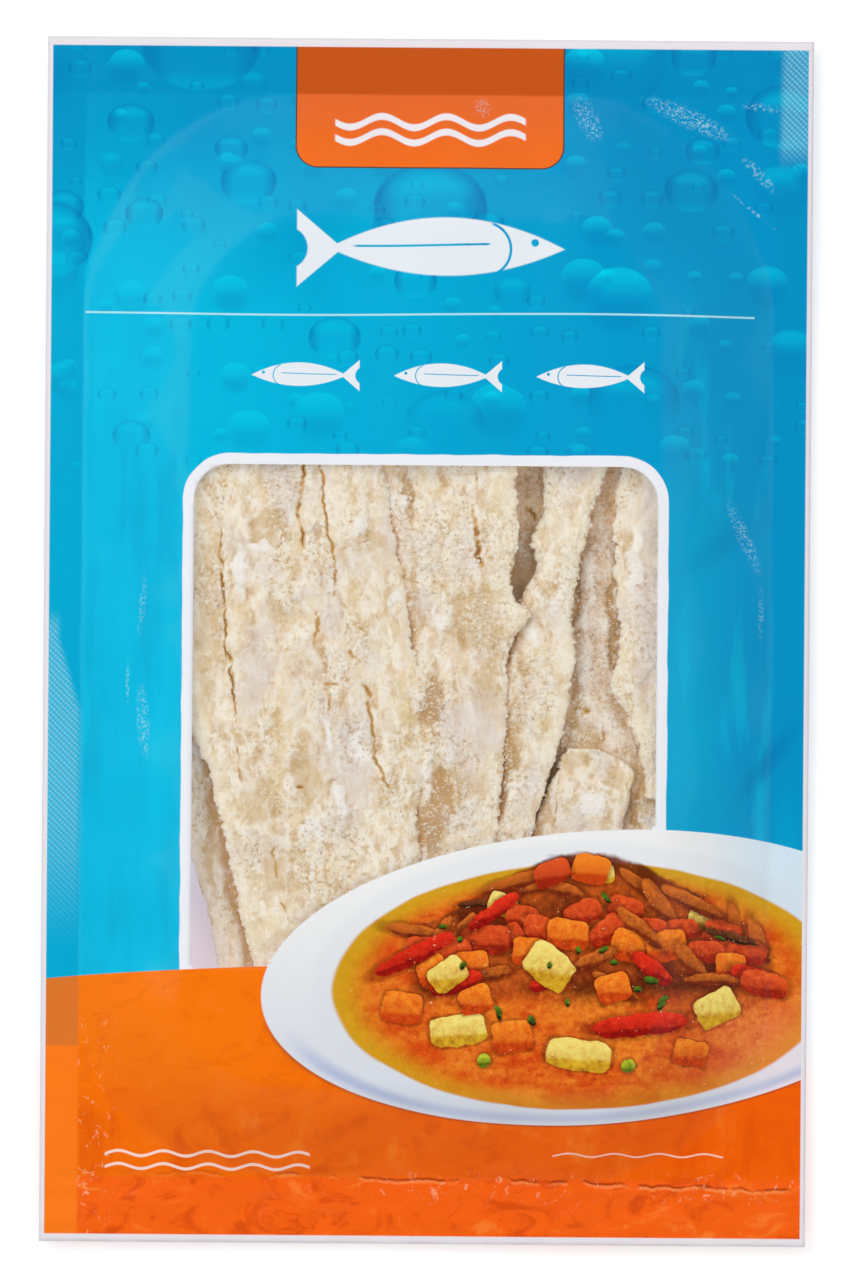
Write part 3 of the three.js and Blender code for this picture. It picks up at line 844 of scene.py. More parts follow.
def backMaterial():
    material, tree, shader = newMaterial("filmBackPrint", Roughness=0.36, Specular_IOR_Level=0.42)
    point = printPoint(tree)
    x, y = split(tree, point)[:2]
    cloud = noiseField(tree, point, 0.02, 2.0)
    colour = blend(tree, cloud, ink(0, 170, 214), ink(0, 152, 203))
    colour = inked(tree, colour, y.step(backBlueEnd + 0.2, backBlueEnd - 0.2), 240, 112, 14)
    margin = abs(x).step(printEdge["side"] - sharp, printEdge["side"] + sharp)
    margin = margin.most(abs(y).step(printEdge["top"] - 2 * sharp, printEdge["top"]))
    feed(tree, shader.inputs["Base Color"], inked(tree, colour, margin, 226, 221, 226))
    relief = useGroup(tree, filmRelief, Point=point)
    feed(tree, shader.inputs["Normal"], bump(tree, relief["Crinkle"], 0.5, 0.5))
    return material


# The films' inner faces: a faint glow in their own colour, painted light for the light that comes in through
# the film
def glowingInsideMaterial():
    material, tree, shader = newMaterial("filmInsideGlow", Roughness=0.4, Specular_IOR_Level=0.4,
                                         Emission_Strength=0.35)
    point = printPoint(tree)
    y = split(tree, point)[1]
    # pinker towards the bottom, painted light tinted by the orange band
    colour = blend(tree, y.step(-40, -76), ink(214, 218, 228), ink(226, 214, 218))
    colour = inked(tree, colour, noiseField(tree, point, 0.08, 3.0) * 0.4, 198, 206, 222)
    feedNamed(tree, shader, Base_Color=colour, Emission_Color=colour)
    return material


def clearMaterial():  # the camera sees its gloss, and all other light goes straight through
    material, tree, shader = newMaterial("clearFilm", Base_Color=(1, 1, 1, 1), Roughness=0.05, IOR=1.25,
                                         Transmission_Weight=1.0)
    relief = useGroup(tree, filmRelief, Point=printPoint(tree))
    feed(tree, shader.inputs["Normal"], bump(tree, relief["Crinkle"], 0.15, 0.3))
    clear = addNode(tree, "ShaderNodeBsdfTransparent").outputs[0]
    seen = addNode(tree, "ShaderNodeLightPath").outputs["Is Camera Ray"]
    mix = addNode(tree, "ShaderNodeMixShader", seen, clear, shader.outputs[0])
    feed(tree, tree.nodes["Material Output"].inputs["Surface"], mix.outputs[0])
    return material


# The film itself
film = {"thick": 0.25, "step": 1.15, "gap": 0.06, "clearThick": 0.12, "clearGap": 0.03, "overlap": 1.6}
crumples = [  # middle, spread, how many creases, their main direction, length and height
    (36.0, 122.0, 5.0, 7, 40, 7.0, 0.22), (60.0, 123.0, 7.0, 8, -35, 8.0, 0.22),
    (77.0, 109.0, 5.0, 8, 60, 7.0, 0.24), (74.0, 18.0, 7.0, 9, 75, 9.0, 0.22),
    (-46.0, -115.0, 6.0, 9, 35, 8.0, 0.26), (-76.0, -95.0, 5.0, 9, 50, 7.0, 0.24),
    (-60.0, 96.0, 8.0, 6, -50, 9.0, 0.18), (66.0, -100.0, 8.0, 8, -40, 9.0, 0.22),
    (-72.0, 20.0, 6.0, 6, 80, 9.0, 0.16), (10.0, 108.0, 12.0, 6, 85, 9.0, 0.18),
    (20.0, -114.0, 14.0, 8, 80, 9.0, 0.22), (76.0, -60.0, 5.0, 6, 50, 8.0, 0.2),
]
broadCreases = [(88.0, -16.0, 71.0, -38.0, 2.6, -0.35), (-88.5, -30.0, -70.0, -36.0, 2.4, 0.2)]
printParts = {  # what each of the front's materials shows besides the blue and the window's border
    "filmPrinted": ["upper", "glints"], "filmSides": ["glints"], "filmBand": ["band"],
    "filmChina": ["band", "bowl"], "filmServing": ["band", "bowl", "food"],
}
# below which height each material shows, and how far past the bowl and the stew
zones = {"sidesTop": 35.0, "bandTop": -71.0, "foodTop": -43.0, "bowl": 3.0, "food": 3.5}


def creaseTable():  # each crease: two ends, width and height
    made = list(broadCreases)
    for x, y, spread, count, direction, length, height in crumples:
        for i in range(count):
            middleX, middleY = draw.normal(x, spread), draw.normal(y, spread)
            turn = math.radians(draw.normal(direction, 28))
            half = length * draw.uniform(0.45, 1.0) / 2
            dx, dy = half * math.cos(turn), half * math.sin(turn)
            made.append((middleX - dx, middleY - dy, middleX + dx, middleY + dy, draw.uniform(0.9, 1.7),
                         height * draw.choice((-1, 1)) * draw.uniform(0.5, 1.1)))
    return made


creases = creaseTable()


def creased(x, y):
    total = np.zeros(np.shape(x))
    for x0, y0, x1, y1, width, height in creases:
        length = math.hypot(x1 - x0, y1 - y0)
        along = ((x - x0) * (x1 - x0) + (y - y0) * (y1 - y0)) / length
        aside = np.abs((x - x0) * (y1 - y0) - (y - y0) * (x1 - x0)) / length
        near = np.exp(-aside / width) * np.clip(4 * along * (length - along) / length ** 2, 0, 1)
        total += height * near
    return total


def groove(away, depth, width):
    return -depth * np.exp(-(away / width) ** 2)


def filmDetail(x, y):  # relief too fine for the solid, kept under 0.7 mm
    lowerSeal = ramp(y, sealLower + 3, sealLower - 2)
    crumple = (0.42 * layered(0.09 * x, 0.26 * y, 11) + 0.14 * noise(0.5 * x, 0.9 * y, 12)) * lowerSeal
    fold = groove(y - sealLower + 0.8 * np.sin(0.05 * x), 0.3, 1.1)
    sides = groove(np.abs(x) - sealLeft + 0.4 * noise(0.08 * y, 0 * y, 5), 0.22, 1.0)
    upper = groove(y - sealUpper, 0.22, 1.0)
    shoulder = 4 * fullness(x, y) * (1 - fullness(x, y))
    slack = 0.22 * layered(0.07 * x, 0.07 * y, 3) * (0.35 + 0.65 * shoulder)
    return crumple + fold + sides + upper + slack + creased(x, y)


def outerEdge(x, y):  # a little above 0 on the edge itself, so that the grid keeps it
    return np.minimum(packWidth / 2 - np.abs(x), packLength / 2 - np.abs(y)) + 0.01


def frontFilm(x, y):
    return frontHeight(x, y) + filmDetail(x, y) * ramp(windowInset(x, y), 3, -2)


def backFilm(x, y):  # its upper face meets the front film on the seals
    sealed = (1 - fullness(x, y)) ** 4
    between = sealThickness - 2 * film["thick"] + filmDetail(x, y)
    height = backHeight(x, y) + film["thick"] + sealed * between
    return np.minimum(height, frontFilm(x, y) - film["thick"] - film["gap"])


def clearFilm(x, y):  # it lies just under the printed film
    return frontFilm(x, y) - film["thick"] - film["clearGap"]


def printZone(x, y):  # which of the front's materials shows at a place; material 1 is the film's inside
    onBowl = ovalDistance(x, y, bowl) < zones["bowl"]
    onHeap = (np.abs(x - heap["x"]) < heap["halfWidth"] + zones["food"])
    onHeap = onHeap & (y < zones["foodTop"]) & (y > broth["y"])
    onFood = onBowl & (onHeap | (ovalDistance(x, y, broth) < zones["food"]))
    return np.select([onFood, onBowl, y < zones["bandTop"], y < zones["sidesTop"]], [5, 4, 3, 2], 0)


def layPrint(sheet):
    polygons = sheet.data.polygons
    centres, indices = np.empty(3 * len(polygons)), np.empty(len(polygons), dtype=np.int32)
    polygons.foreach_get("center", centres)
    polygons.foreach_get("material_index", indices)
    x, y = centres.reshape(-1, 3)[:, :2].T / mm
    polygons.foreach_set("material_index", np.where(indices == 0, printZone(x, y), indices).astype(np.int32))


xs = gridLines(-packWidth / 2, [(end, film["step"]) for end in (windowLeft, windowRight, packWidth / 2)])
ys = gridLines(-packLength / 2, [(end, film["step"]) for end in (windowTop, packLength / 2)])
inside = glowingInsideMaterial()
printed = [filmMaterial(name, *parts) for name, parts in printParts.items()]
filmFront = filmSheet("film_front", xs, ys, lambda x, y: np.minimum(outerEdge(x, y), -windowInset(x, y)),
                      frontFilm, film["thick"], printed[0], inside)
for material in printed[1:]:
    filmFront.data.materials.append(material)
layPrint(filmFront)
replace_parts(filmFront, "pouch")
filmWindow = filmSheet("film_window", xs, ys, lambda x, y: windowInset(x, y) + film["overlap"], clearFilm,
                       film["clearThick"], clearMaterial())
filmBack = filmSheet("film_back", xs, ys, outerEdge, backFilm, film["thick"], inside, backMaterial())
print("film", [len(o.data.polygons) for o in (filmFront, filmWindow, filmBack)])


# The fish
fishSpace = {"underFilm": 0.8, "onFilm": 1.2, "skin": 0.05, "top": 47.5, "low": -82.0}  # where it has to stay
plainBlock = 2.667  # how square a fillet's cross-section is
patchKinds = ("white", "violet", "tan", "brown", "crumbly")

# Stations are (y, left edge, right edge), as in the frame's source. A crack is its width, its depth and
# the points of its line. A patch is its kind, middle, half sizes and turn in degrees.
fillets = {
    "fillet_large": {
        "top": 15.6, "thickness": 6.8, "tilt": 0.012, "seed": 0.4, "step": 0.36, "salt": 0.3, "ragged": 0.5,
        "stations": [
            (56, -59, -12), (39.8, -58.6, -10.2), (25.6, -58.2, -7.8), (12.2, -58, -5.4),
            (-1.3, -57.8, -3.2), (-11.6, -57, 0.2), (-20, -54.6, -2.3), (-29.3, -50.4, 0),
            (-38.5, -47.9, -1.9), (-50, -45.2, -1), (-65, -42, -3), (-76, -39.2, -5), (-96, -35, -7)],
        "cracks": [
            (0.26, 1.0, (-48.3, 27), (-46.8, 8), (-46.9, -2), (-45.2, -5.5), (-44.2, -19)),
            (0.24, 0.6, (-44.2, -21), (-43.4, -27), (-42.6, -33)),
            (0.42, 0.85, (-28.7, 44), (-28.9, 39.7), (-29.4, 35), (-29.9, 29.6), (-29, 25), (-28.5, 19.6)),
            (0.4, 0.6, (-25.4, 8.1), (-25.7, 2.3), (-26.4, -2)),
            (0.34, 0.7, (-25.6, 44), (-24.8, 39.7), (-23.6, 30.4), (-22.8, 25), (-21.6, 17.3), (-21.1, 10.4)),
            (0.34, 0.9, (-17.6, -2.2), (-16.8, -3.7), (-15.6, -5.3)),
            (0.3, 0.8, (-14.8, -10), (-12.9, -13.4)),
            (0.34, 0.75, (-14.5, -10.4), (-12.7, -18), (-12.2, -25.1), (-10.4, -30.4), (-9, -32.6),
             (-7.6, -36)),
            (0.42, 0.5, (-23.7, -10), (-20.2, -10)), (0.3, 0.5, (-22.4, -12), (-22.8, -16.5)),
            (0.3, 0.4, (-33.3, 26), (-34.6, 21)), (0.3, 0.35, (-17, 4), (-14.5, 2)),
            (0.26, 0.5, (-35.1, -47.8), (-34.2, -55.4)), (0.26, 0.5, (-33.3, -60.5), (-31.4, -64.9)),
            (0.34, 1.3, (-29.4, -34), (-27.9, -34)), (0.3, 1.1, (-46.2, -65.9), (-45.2, -65.9))],
        "patches": [
            ("tan", -28, -31, 3.2, 9, 4), ("violet", -17, -30, 4.6, 18, -8),
            ("violet", -33.6, 34, 3, 7, 6), ("white", -15.5, 27, 1.4, 2.8, -8),
            ("white", -43.2, 15, 1.5, 7.5, 4), ("violet", -22.5, 5, 3, 4.5, 0),
            ("crumbly", -24.5, 20, 3.4, 10, 6), ("crumbly", -20.5, -6, 4.5, 7, 0),
            ("tan", -50.5, 4, 3, 22, -2), ("white", -15, -25, 2.2, 3.4, 30), ("tan", -37, 26, 4.5, 4, 20),
            ("white", -26, -44, 3.4, 2.4, 20), ("tan", -34, -54, 4, 6, 0), ("violet", -40, -8, 4, 10, -6),
            ("white", -7.4, 9, 1.6, 1.8, 0), ("tan", -13, 23, 3, 3.6, 30),
            ("white", -39, 22, 3.2, 1.2, -20), ("white", -20, -37, 1.6, 4.6, 12),
            ("tan", -38, -38, 5, 4, 30), ("white", -23.2, -22, 0.9, 4.6, 8),
            ("crumbly", -22, -50, 9, 12, 0)],
    },
    "fillet_middle": {
        "top": 14.1, "thickness": 6.2, "tilt": 0.13, "seed": 1.7, "step": 0.36, "salt": 0.5, "ragged": 0.5,
        "stations": [
            (56, -20, 19.8), (40, -19, 20.2), (24, -16, 20.8), (11.8, -14, 19.4), (5.6, -13, 23.3),
            (1.5, -12, 20.2), (-13.4, -13, 18.8), (-35.5, -12, 17.2), (-66, -14, 15.2)],
        "cracks": [
            (0.65, 1.1, (10.6, 31.5), (10.9, 27), (11.5, 22), (12.4, 17.4)),
            (0.3, 0.4, (11.2, 40), (11.6, 35))],
        "patches": [
            ("brown", -4.8, 34, 1.3, 6.5, 0), ("crumbly", -5, 26, 4.6, 16, 6),
            ("white", 3.5, 5.6, 1.7, 2.2, 0), ("violet", 10, -21, 6.5, 10, 0),
            ("brown", 1, -43, 3.2, 7.5, -6), ("brown", 0.7, -17.5, 2.2, 3, 0), ("tan", -4, 3, 3.6, 9, 0),
            ("violet", -1, 8, 3, 6, 0), ("white", -6.6, 12, 1.4, 1.6, 0), ("tan", 11, 5, 7, 8, 20),
            ("white", 1, -30, 1.6, 5, 0), ("white", -6.2, 32, 1.2, 2.2, 0), ("tan", 7, -33, 6, 5, 0),
            ("crumbly", 4, -42, 9, 14, 0), ("crumbly", 1, -18, 5, 12, 0),
            ("brown", 1.6, -12.5, 2.4, 6, 0), ("brown", 3.2, -38, 3.2, 8, 0), ("tan", 14, -12, 3, 9, 0)],
    },
    "fillet_narrow": {
        "top": 13.4, "thickness": 5.6, "tilt": 0.12, "seed": 2.9, "step": 0.36, "salt": 0.5, "ragged": 0.45,
        "stations": [
            (56, 27, 42), (39.5, 26.7, 40.8), (30, 27, 38), (24.8, 24.4, 36.9), (17, 25.4, 35),
            (9.8, 21.5, 33.8), (-3.6, 16, 34.2), (-17.6, 12, 32.2), (-28.7, 10, 29.5), (-42, 7, 25.2),
            (-62, 4, 20.5)],
        "patches": [
            ("brown", 19.4, 2, 1.6, 9, -16), ("tan", 19, -22, 3.4, 12, -10),
            ("white", 31.6, 14, 1.2, 7, -12), ("brown", 17.0, -30, 3.2, 12, -12),
            ("crumbly", 25, -9, 5, 9, 0), ("crumbly", 17, -34, 6, 12, -10),
            ("violet", 24, -33, 2.4, 8, -18), ("white", 24, 3, 2, 3, 0), ("violet", 36, 40, 3, 5, 0)],
    },
    "fillet_edge": {
        "top": 13.8, "thickness": 5.8, "tilt": -0.04, "seed": 4.3, "step": 0.36, "salt": 0.35, "ragged": 0.5,
        "stations": [
            (56, 47, 63), (41, 45.4, 62), (33.2, 43.8, 61.5), (21, 43.4, 61), (11, 44, 61),
            (-0.8, 45, 60), (-11, 43.2, 58), (-18, 47, 57), (-28, 50, 56), (-36, 51.6, 54.6)],
        "patches": [
            ("violet", 52, 8, 2.4, 30, 0), ("tan", 46, 24, 1.2, 4, 0), ("tan", 46.5, -15, 1.4, 3, 20),
            ("white", 48.4, 20, 1.8, 7, 0), ("violet", 49.5, -6, 2.6, 6, 0),
            ("crumbly", 46, -13, 2.4, 6, 0)],
    },
    "piece_low": {
        "top": 11.6, "thickness": 4.8, "tilt": 0.02, "seed": 5.1, "step": 0.34, "salt": 0.35, "ragged": 0.45,
        "block": 9.0,
        "stations": [
            (-24.6, 33.6, 39.4), (-26.4, 31.8, 43.4), (-29.2, 30.8, 47.6), (-35, 28, 47.6),
            (-42.6, 25.2, 45.6), (-56, 21, 43.5)],
        "cracks": [(0.3, 0.45, (31, -30), (30.6, -36), (30.2, -43))],
        "patches": [
            ("tan", 34.5, -26.5, 3.2, 2.2, 0), ("tan", 44, -31, 2, 3, 30),
            ("white", 39, -38, 3.2, 3.6, 0), ("white", 42, -33, 2.4, 1.2, -20),
            ("tan", 27.5, -40, 1.6, 6, -14)],
    },
    "piece_corner": {
        "top": 10.4, "thickness": 4.4, "tilt": 0.0, "seed": 6.2, "step": 0.4, "salt": 0.1, "ragged": 0.3,
        "stations": [(-31.5, 50.5, 55), (-34, 49, 59), (-42, 47, 60), (-56, 45.4, 60)],
        "patches": [("brown", 48.4, -38, 1.6, 7, 0), ("tan", 51.6, -36, 2.4, 5, 0)],
    },
    "fillet_under": {
        "top": 8.9, "thickness": 6.6, "tilt": 0.0, "seed": 7.4, "step": 0.5, "salt": 0.3, "ragged": 0.4,
        "stations": [
            (50, -57, -12), (20, -58, -10), (-14, -59, -9), (-37.3, -56.6, -9.5), (-51, -54.2, -10),
            (-60.5, -50.8, -11), (-71.7, -48.5, -12), (-96, -43, -14)],
        "patches": [("tan", -49.5, -46, 1.6, 12, -8), ("white", -53, -26, 1.2, 2.4, 0)],
    },
    "fillet_back": {
        "top": 8.8, "thickness": 6.0, "tilt": 0.03, "seed": 8.6, "step": 0.42, "salt": 0.8, "ragged": 0.4,
        "stations": [
            (56, 33, 60), (20, 31.5, 59.5), (0, 30, 58.5), (-12, 28.5, 57), (-30, 26, 54), (-56, 22, 52)],
        "cracks": [(0.45, 0.8, (33.4, -15.5), (35.6, -15), (38, -16.2)), (0.4, 0.6, (42, -18), (41, -23))],
        "patches": [
            ("violet", 39.5, 26, 3, 15, -8), ("violet", 37.6, 2, 3, 10, -6),
            ("white", 36.2, 5.7, 2.2, 2, 0), ("brown", 43.2, 6, 1, 16, 0), ("crumbly", 35, -6, 5, 16, 0),
            ("tan", 37, -22, 4, 5, 0), ("white", 37.6, 18, 1.8, 6, -10), ("brown", 35, 10, 1, 6, 0),
            ("white", 36.6, -3, 2.2, 5, 0)],
    },
    "fillet_deep": {
        "top": 7.4, "thickness": 5.2, "tilt": 0.0, "seed": 9.5, "step": 0.5, "salt": 0.25, "ragged": 0.3,
        "stations": [
            (56, -8, 31), (20, -7, 29.8), (0, -6, 28.4), (-20, -6, 26.4), (-40, -7, 23.6), (-66, -9, 19)],
        "cracks": [(0.4, 0.8, (22.6, 31), (24.4, 29.6), (24.8, 27.8))],
        "patches": [("violet", 23, 35, 3, 8, 0), ("crumbly", 23, 30, 4, 12, 0)],
    },
}


def throughStations(stations, y):  # a smooth curve through each edge's stations
    known = np.array(stations, dtype=float)[::-1]
    k = np.clip(np.searchsorted(known[:, 0], y) - 1, 0, len(known) - 2)
    gap = known[k + 1, 0] - known[k, 0]
    t = np.clip((y - known[k, 0]) / gap, 0, 1)
    edges = []
    for column in (1, 2):
        slopes = np.gradient(known[:, column], known[:, 0])
        a, b = known[k, column], known[k + 1, column]
        edges.append(a * (1 + 2 * t) * (1 - t) ** 2 + b * t * t * (3 - 2 * t) +
                     gap * (slopes[k] * t * (1 - t) ** 2 - slopes[k + 1] * t * t * (1 - t)))
    return edges


def domed(across, fillet):  # a fillet's cross-section: 1 in the middle, 0 at its edges
    return np.maximum(0, 1 - np.abs(across) ** fillet.get("block", plainBlock)) ** 0.3


def filletLevel(fillet, x, y):  # its top without fine relief, or nothing beside it
    left, right = throughStations(fillet["stations"], y)
    across = (2 * x - left - right) / (right - left)
    within = (np.abs(across) < 1) & (y < fillet["stations"][0][0]) & (y > fillet["stations"][-1][0])
    tilted = fillet["tilt"] * across * (right - left) / 2
    level = fillet["top"] - fillet["thickness"] / 2 * (1 - domed(across, fillet)) + tilted
    return np.where(within, level, 0)


def blurred(grid, reach):  # two box blurs by running sums
    width = 2 * reach + 1
    for axis in (0, 1, 0, 1):
        first, last = np.take(grid, [0], axis), np.take(grid, [-1], axis)
        padded = np.concatenate([0 * first] + [first] * reach + [grid] + [last] * reach, axis)
        sums, places = np.cumsum(padded, axis), np.arange(grid.shape[axis])
        grid = (np.take(sums, places + width, axis) - np.take(sums, places, axis)) / width
    return grid


# What lies round each place: the level of the fish about it, near and further away
surround = {"left": -66.0, "low": -100.0, "step": 0.5, "columns": 264, "rows": 320, "near": 2.0, "far": 5.5}
aroundX, aroundY = np.meshgrid(surround["left"] + surround["step"] * np.arange(surround["columns"]),
                               surround["low"] + surround["step"] * np.arange(surround["rows"]))
levels = np.max([filletLevel(fillet, aroundX, aroundY) for fillet in fillets.values()], 0)
levelNear, levelFar = (blurred(levels, int(surround[reach] / surround["step"])) for reach in ("near", "far"))


def sampled(grid, x, y):
    u = np.clip((x - surround["left"]) / surround["step"], 0, surround["columns"] - 1.001)
    v = np.clip((y - surround["low"]) / surround["step"], 0, surround["rows"] - 1.001)
    i, j = u.astype(int), v.astype(int)
    u, v = u - i, v - j
    return ((grid[j, i] * (1 - u) + grid[j, i + 1] * u) * (1 - v) +
            (grid[j + 1, i] * (1 - u) + grid[j + 1, i + 1] * u) * v)


def crust(x, y, seed):  # the slow relief that the solid has too
    fibres = 0.34 * np.sin(1.15 * x + 1.1 * np.sin(0.06 * y + seed) + seed)
    flakes = 0.28 * np.sin(0.42 * y + 0.5 * x + 2 * seed) * np.sin(0.31 * x - 0.13 * y + seed)
    return fibres * 0.3 + flakes + 0.3 * np.sin(0.13 * y + 0.09 * x + 3 * seed)


def fineRelief(x, y, seed, salt):  # relief in mm, lumps and how crumbly it is
    warpX = x + 1.8 * layered(0.16 * x, 0.11 * y, seed, 3)
    warpY = y + 2.4 * layered(0.14 * x, 0.10 * y, seed + 9, 3)
    fibre = 1 - 2 * np.abs(noise(0.8 * warpX, 0.12 * y, seed + 20))
    wrinkle = 1 - 2.4 * np.abs(noise(0.42 * warpX, 0.3 * warpY, seed + 25))
    wrinkle = wrinkle + 0.5 * (1 - 2.4 * np.abs(noise(0.95 * warpX, 0.6 * warpY, seed + 30)))
    swell = layered(0.24 * x, 0.17 * y, seed + 40)
    flake = cells(warpX / 6.5, warpY / 11.0, seed + 45)[1]
    grain, number = cells(1.15 * warpX, 1.15 * warpY, seed + 60)
    lumps = np.clip(0.66 - grain, 0, 1) * (0.2 + 1.1 * number)
    finer, finerNumber = cells(2.2 * x, 2.2 * y, seed + 70)
    lumps = lumps + 0.6 * np.clip(0.6 - finer, 0, 1) * finerNumber
    lumps = lumps * ramp(layered(0.33 * x, 0.28 * y, seed + 75, 3), -0.9, 0.5)
    crumbly = ramp(layered(0.12 * x, 0.08 * y, seed + 80, 4) + 1.1 * salt - 0.6, -0.5, 0.5)
    relief = (0.07 * fibre + 0.13 * wrinkle) * (1 - 0.6 * crumbly) + 0.2 * swell + 0.34 * (flake - 0.5)
    return relief, lumps, crumbly


def patchShares(x, y, patches, seed):  # 0 to 1 for each kind of patch, in ovals with frayed edges
    warpX = x + 1.3 * layered(0.35 * x, 0.25 * y, seed + 90, 5)
    warpY = y + 2.0 * layered(0.30 * x, 0.22 * y, seed + 95, 5)
    shares = {kind: np.zeros(np.shape(x)) for kind in patchKinds}
    for kind, *place in patches:
        reach = np.hypot(*ovalPlace(warpX, warpY, oval(*place)))
        shares[kind] = np.maximum(shares[kind], ramp(reach, 1.35, 0.6))
    return shares


def crackDepth(x, y, cracks, seed):
    total = np.zeros(np.shape(x))
    shifted = x + 0.45 * noise(0.4 * y, 0.1 * x, seed) + 0.3 * noise(1.3 * y, 0.2 * x, seed + 1)
    broken = 0.35 + 0.75 * ramp(layered(0.55 * y, 0.2 * x, seed + 2, 3), -0.7, 0.4)
    for width, depth, *line in cracks:
        lengths = [math.dist(a, b) for a, b in zip(line, line[1:])]
        whole, before = sum(lengths), 0.0
        nearest, place = np.full(np.shape(x), 99.0), np.zeros(np.shape(x))
        for (x0, y0), (x1, y1), length in zip(line, line[1:], lengths):
            along = np.clip(((shifted - x0) * (x1 - x0) + (y - y0) * (y1 - y0)) / length ** 2, 0, 1)
            distance = np.hypot(shifted - x0 - along * (x1 - x0), y - y0 - along * (y1 - y0))
            closer = distance < nearest
            nearest = np.where(closer, distance, nearest)
            place = np.where(closer, (before + along * length) / whole, place)
            before += length
        taper = np.clip(0.3 + 5 * np.minimum(place, 1 - place), 0, 1)
        total = np.maximum(total, depth * broken * taper * np.exp(-(nearest / (0.85 * width)) ** 2))
    return total


def raggedEdges(fillet, y, number):
    edges = throughStations(fillet["stations"], y)
    for side, edge in enumerate(edges):
        outward = 2 * side - 1
        slow = 0.7 * layered(0.3 * y, 0 * y, number + side, 5)
        teeth = 0.5 * np.abs(noise(1.1 * y, 0 * y, number + 7 + side)) * outward
        flaps = 0.6 * ramp(noise(0.7 * y, 0 * y, number + 11 + side), 0.25, 0.6) * outward
        edge += fillet["ragged"] * (slow + teeth + flaps)
    return edges


def tubeFaces(rows, around):  # between rings of points, closed at both ends, all facing out
    start = (np.arange(rows - 1) * around)[:, None]
    here, beyond = np.arange(around), np.roll(np.arange(around), -1)
    quads = np.stack([start + here, start + beyond, start + around + beyond, start + around + here], 2)
    ends = [list(range(around)), list(range((rows - 1) * around, rows * around))[::-1]]
    return quads.reshape(-1, 4)[:, ::-1].tolist() + ends


def filletObject(name, fillet, material):
    top, thickness, tilt, seed, step = (fillet[key] for key in ("top", "thickness", "tilt", "seed", "step"))
    number, ragged = int(seed * 10), fillet["ragged"]
    firstY = min(fillet["stations"][0][0], fishSpace["top"])
    lastY = max(fillet["stations"][-1][0], fishSpace["low"])
    rows = int(abs(firstY - lastY) / step) + 1
    y = np.linspace(firstY, lastY, rows)
    left, right = raggedEdges(fillet, y, number)
    columns = int(np.max(right - left) / step * 1.08) + 6
    # the upper face's columns crowd towards its edges, and the lower face has about nine of them
    across = np.sin(np.linspace(-math.pi / 2, math.pi / 2, columns) * 0.92) / math.sin(math.pi / 2 * 0.92)
    under = across[::-1][1:-1:max(1, columns // 9)]
    half, middle = ((right - left) / 2)[:, None], ((left + right) / 2)[:, None]
    x, y = middle + half * across, np.repeat(y[:, None], columns, 1)
    toEdge = half * (1 - np.abs(across))
    loose = 0.4 + ramp(layered(0.2 * x, 0.25 * y, number + 52, 2), -0.3, 0.7)
    frayed = ramp(toEdge, 1.6, 0.1) * ragged * loose
    x = x + frayed * (0.7 * noise(1.5 * x, 1.5 * y, number + 50) + 0.5 * noise(3.1 * x, 3.1 * y, number + 51))
    # its crust, lumps, patches and cracks
    bulge = domed(across, fillet)
    relief, lumps, crumbly = fineRelief(x, y, number, fillet["salt"])
    shares = patchShares(x, y, fillet["patches"], number)
    crumbly = shares["crumbly"] = np.maximum(crumbly, shares["crumbly"])
    relief = relief + lumps * (0.14 + 0.7 * crumbly + 0.5 * ramp(toEdge, 2.2, 0.6) * ragged)
    relief = relief + 0.3 * shares["white"] - 0.22 * shares["tan"] - 0.45 * shares["brown"]
    crack = crackDepth(x, y, fillet.get("cracks", []), number)
    z = top - thickness / 2 + tilt * half * across
    z = z + bulge * (thickness / 2 + relief + crust(x, y, seed) - crack)
    z = np.minimum(z, frontHeight(x, y) - fishSpace["underFilm"])
    underZ = top - thickness / 2 + tilt * half * under - domed(under, fillet) * thickness / 2
    points = np.stack([np.concatenate([x, middle + half * under], 1),
                       np.concatenate([y, y[:, :len(under)]], 1),
                       np.concatenate([np.maximum(z, fishSpace["onFilm"] + fishSpace["skin"]),
                                       np.maximum(underZ, fishSpace["onFilm"])], 1)], 2)
    obj = meshObject(name + "_flesh", points.reshape(-1, 3), tubeFaces(rows, columns + len(under)), material)
    # what its material and the salt read
    deep = 0.55 * sampled(levelNear, x, y) + 0.45 * sampled(levelFar, x, y) - z
    seen = ramp(windowInset(x, y), -2.5, -1.5)
    patchy = ramp(noise(0.5 * x, 0.5 * y, number + 77), -0.3, 0.5)
    values = {
        # painted shade where the fish lies below the fish around it, and a painted highlight along edges that
        # stand above it
        "shade": 1 - np.exp(-np.maximum(deep, 0) / 1.5),
        "rim": ramp(-deep, 0.5, 1.9) * ramp(toEdge, 0.1, 0.5),
        # above 0.5 in pits and below it on raised spots, for painted shade and painted highlight
        "hollow": np.clip(0.5 + (blurred(z, 3) - z), 0, 1),
        "crack": np.clip(crack, 0, 1),
        "salt": seen * (bulge > 0.3) * (0.1 + 0.9 * crumbly ** 2) * fillet["salt"],
        "crumbs": seen * ramp(toEdge, 1.3, 0.3) * ragged * patchy,
        **shares,
    }
    for label, grid in values.items():
        setAttribute(obj, label, np.concatenate([grid, np.zeros((rows, len(under)))], 1).ravel())
    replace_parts(obj, name)
    return obj


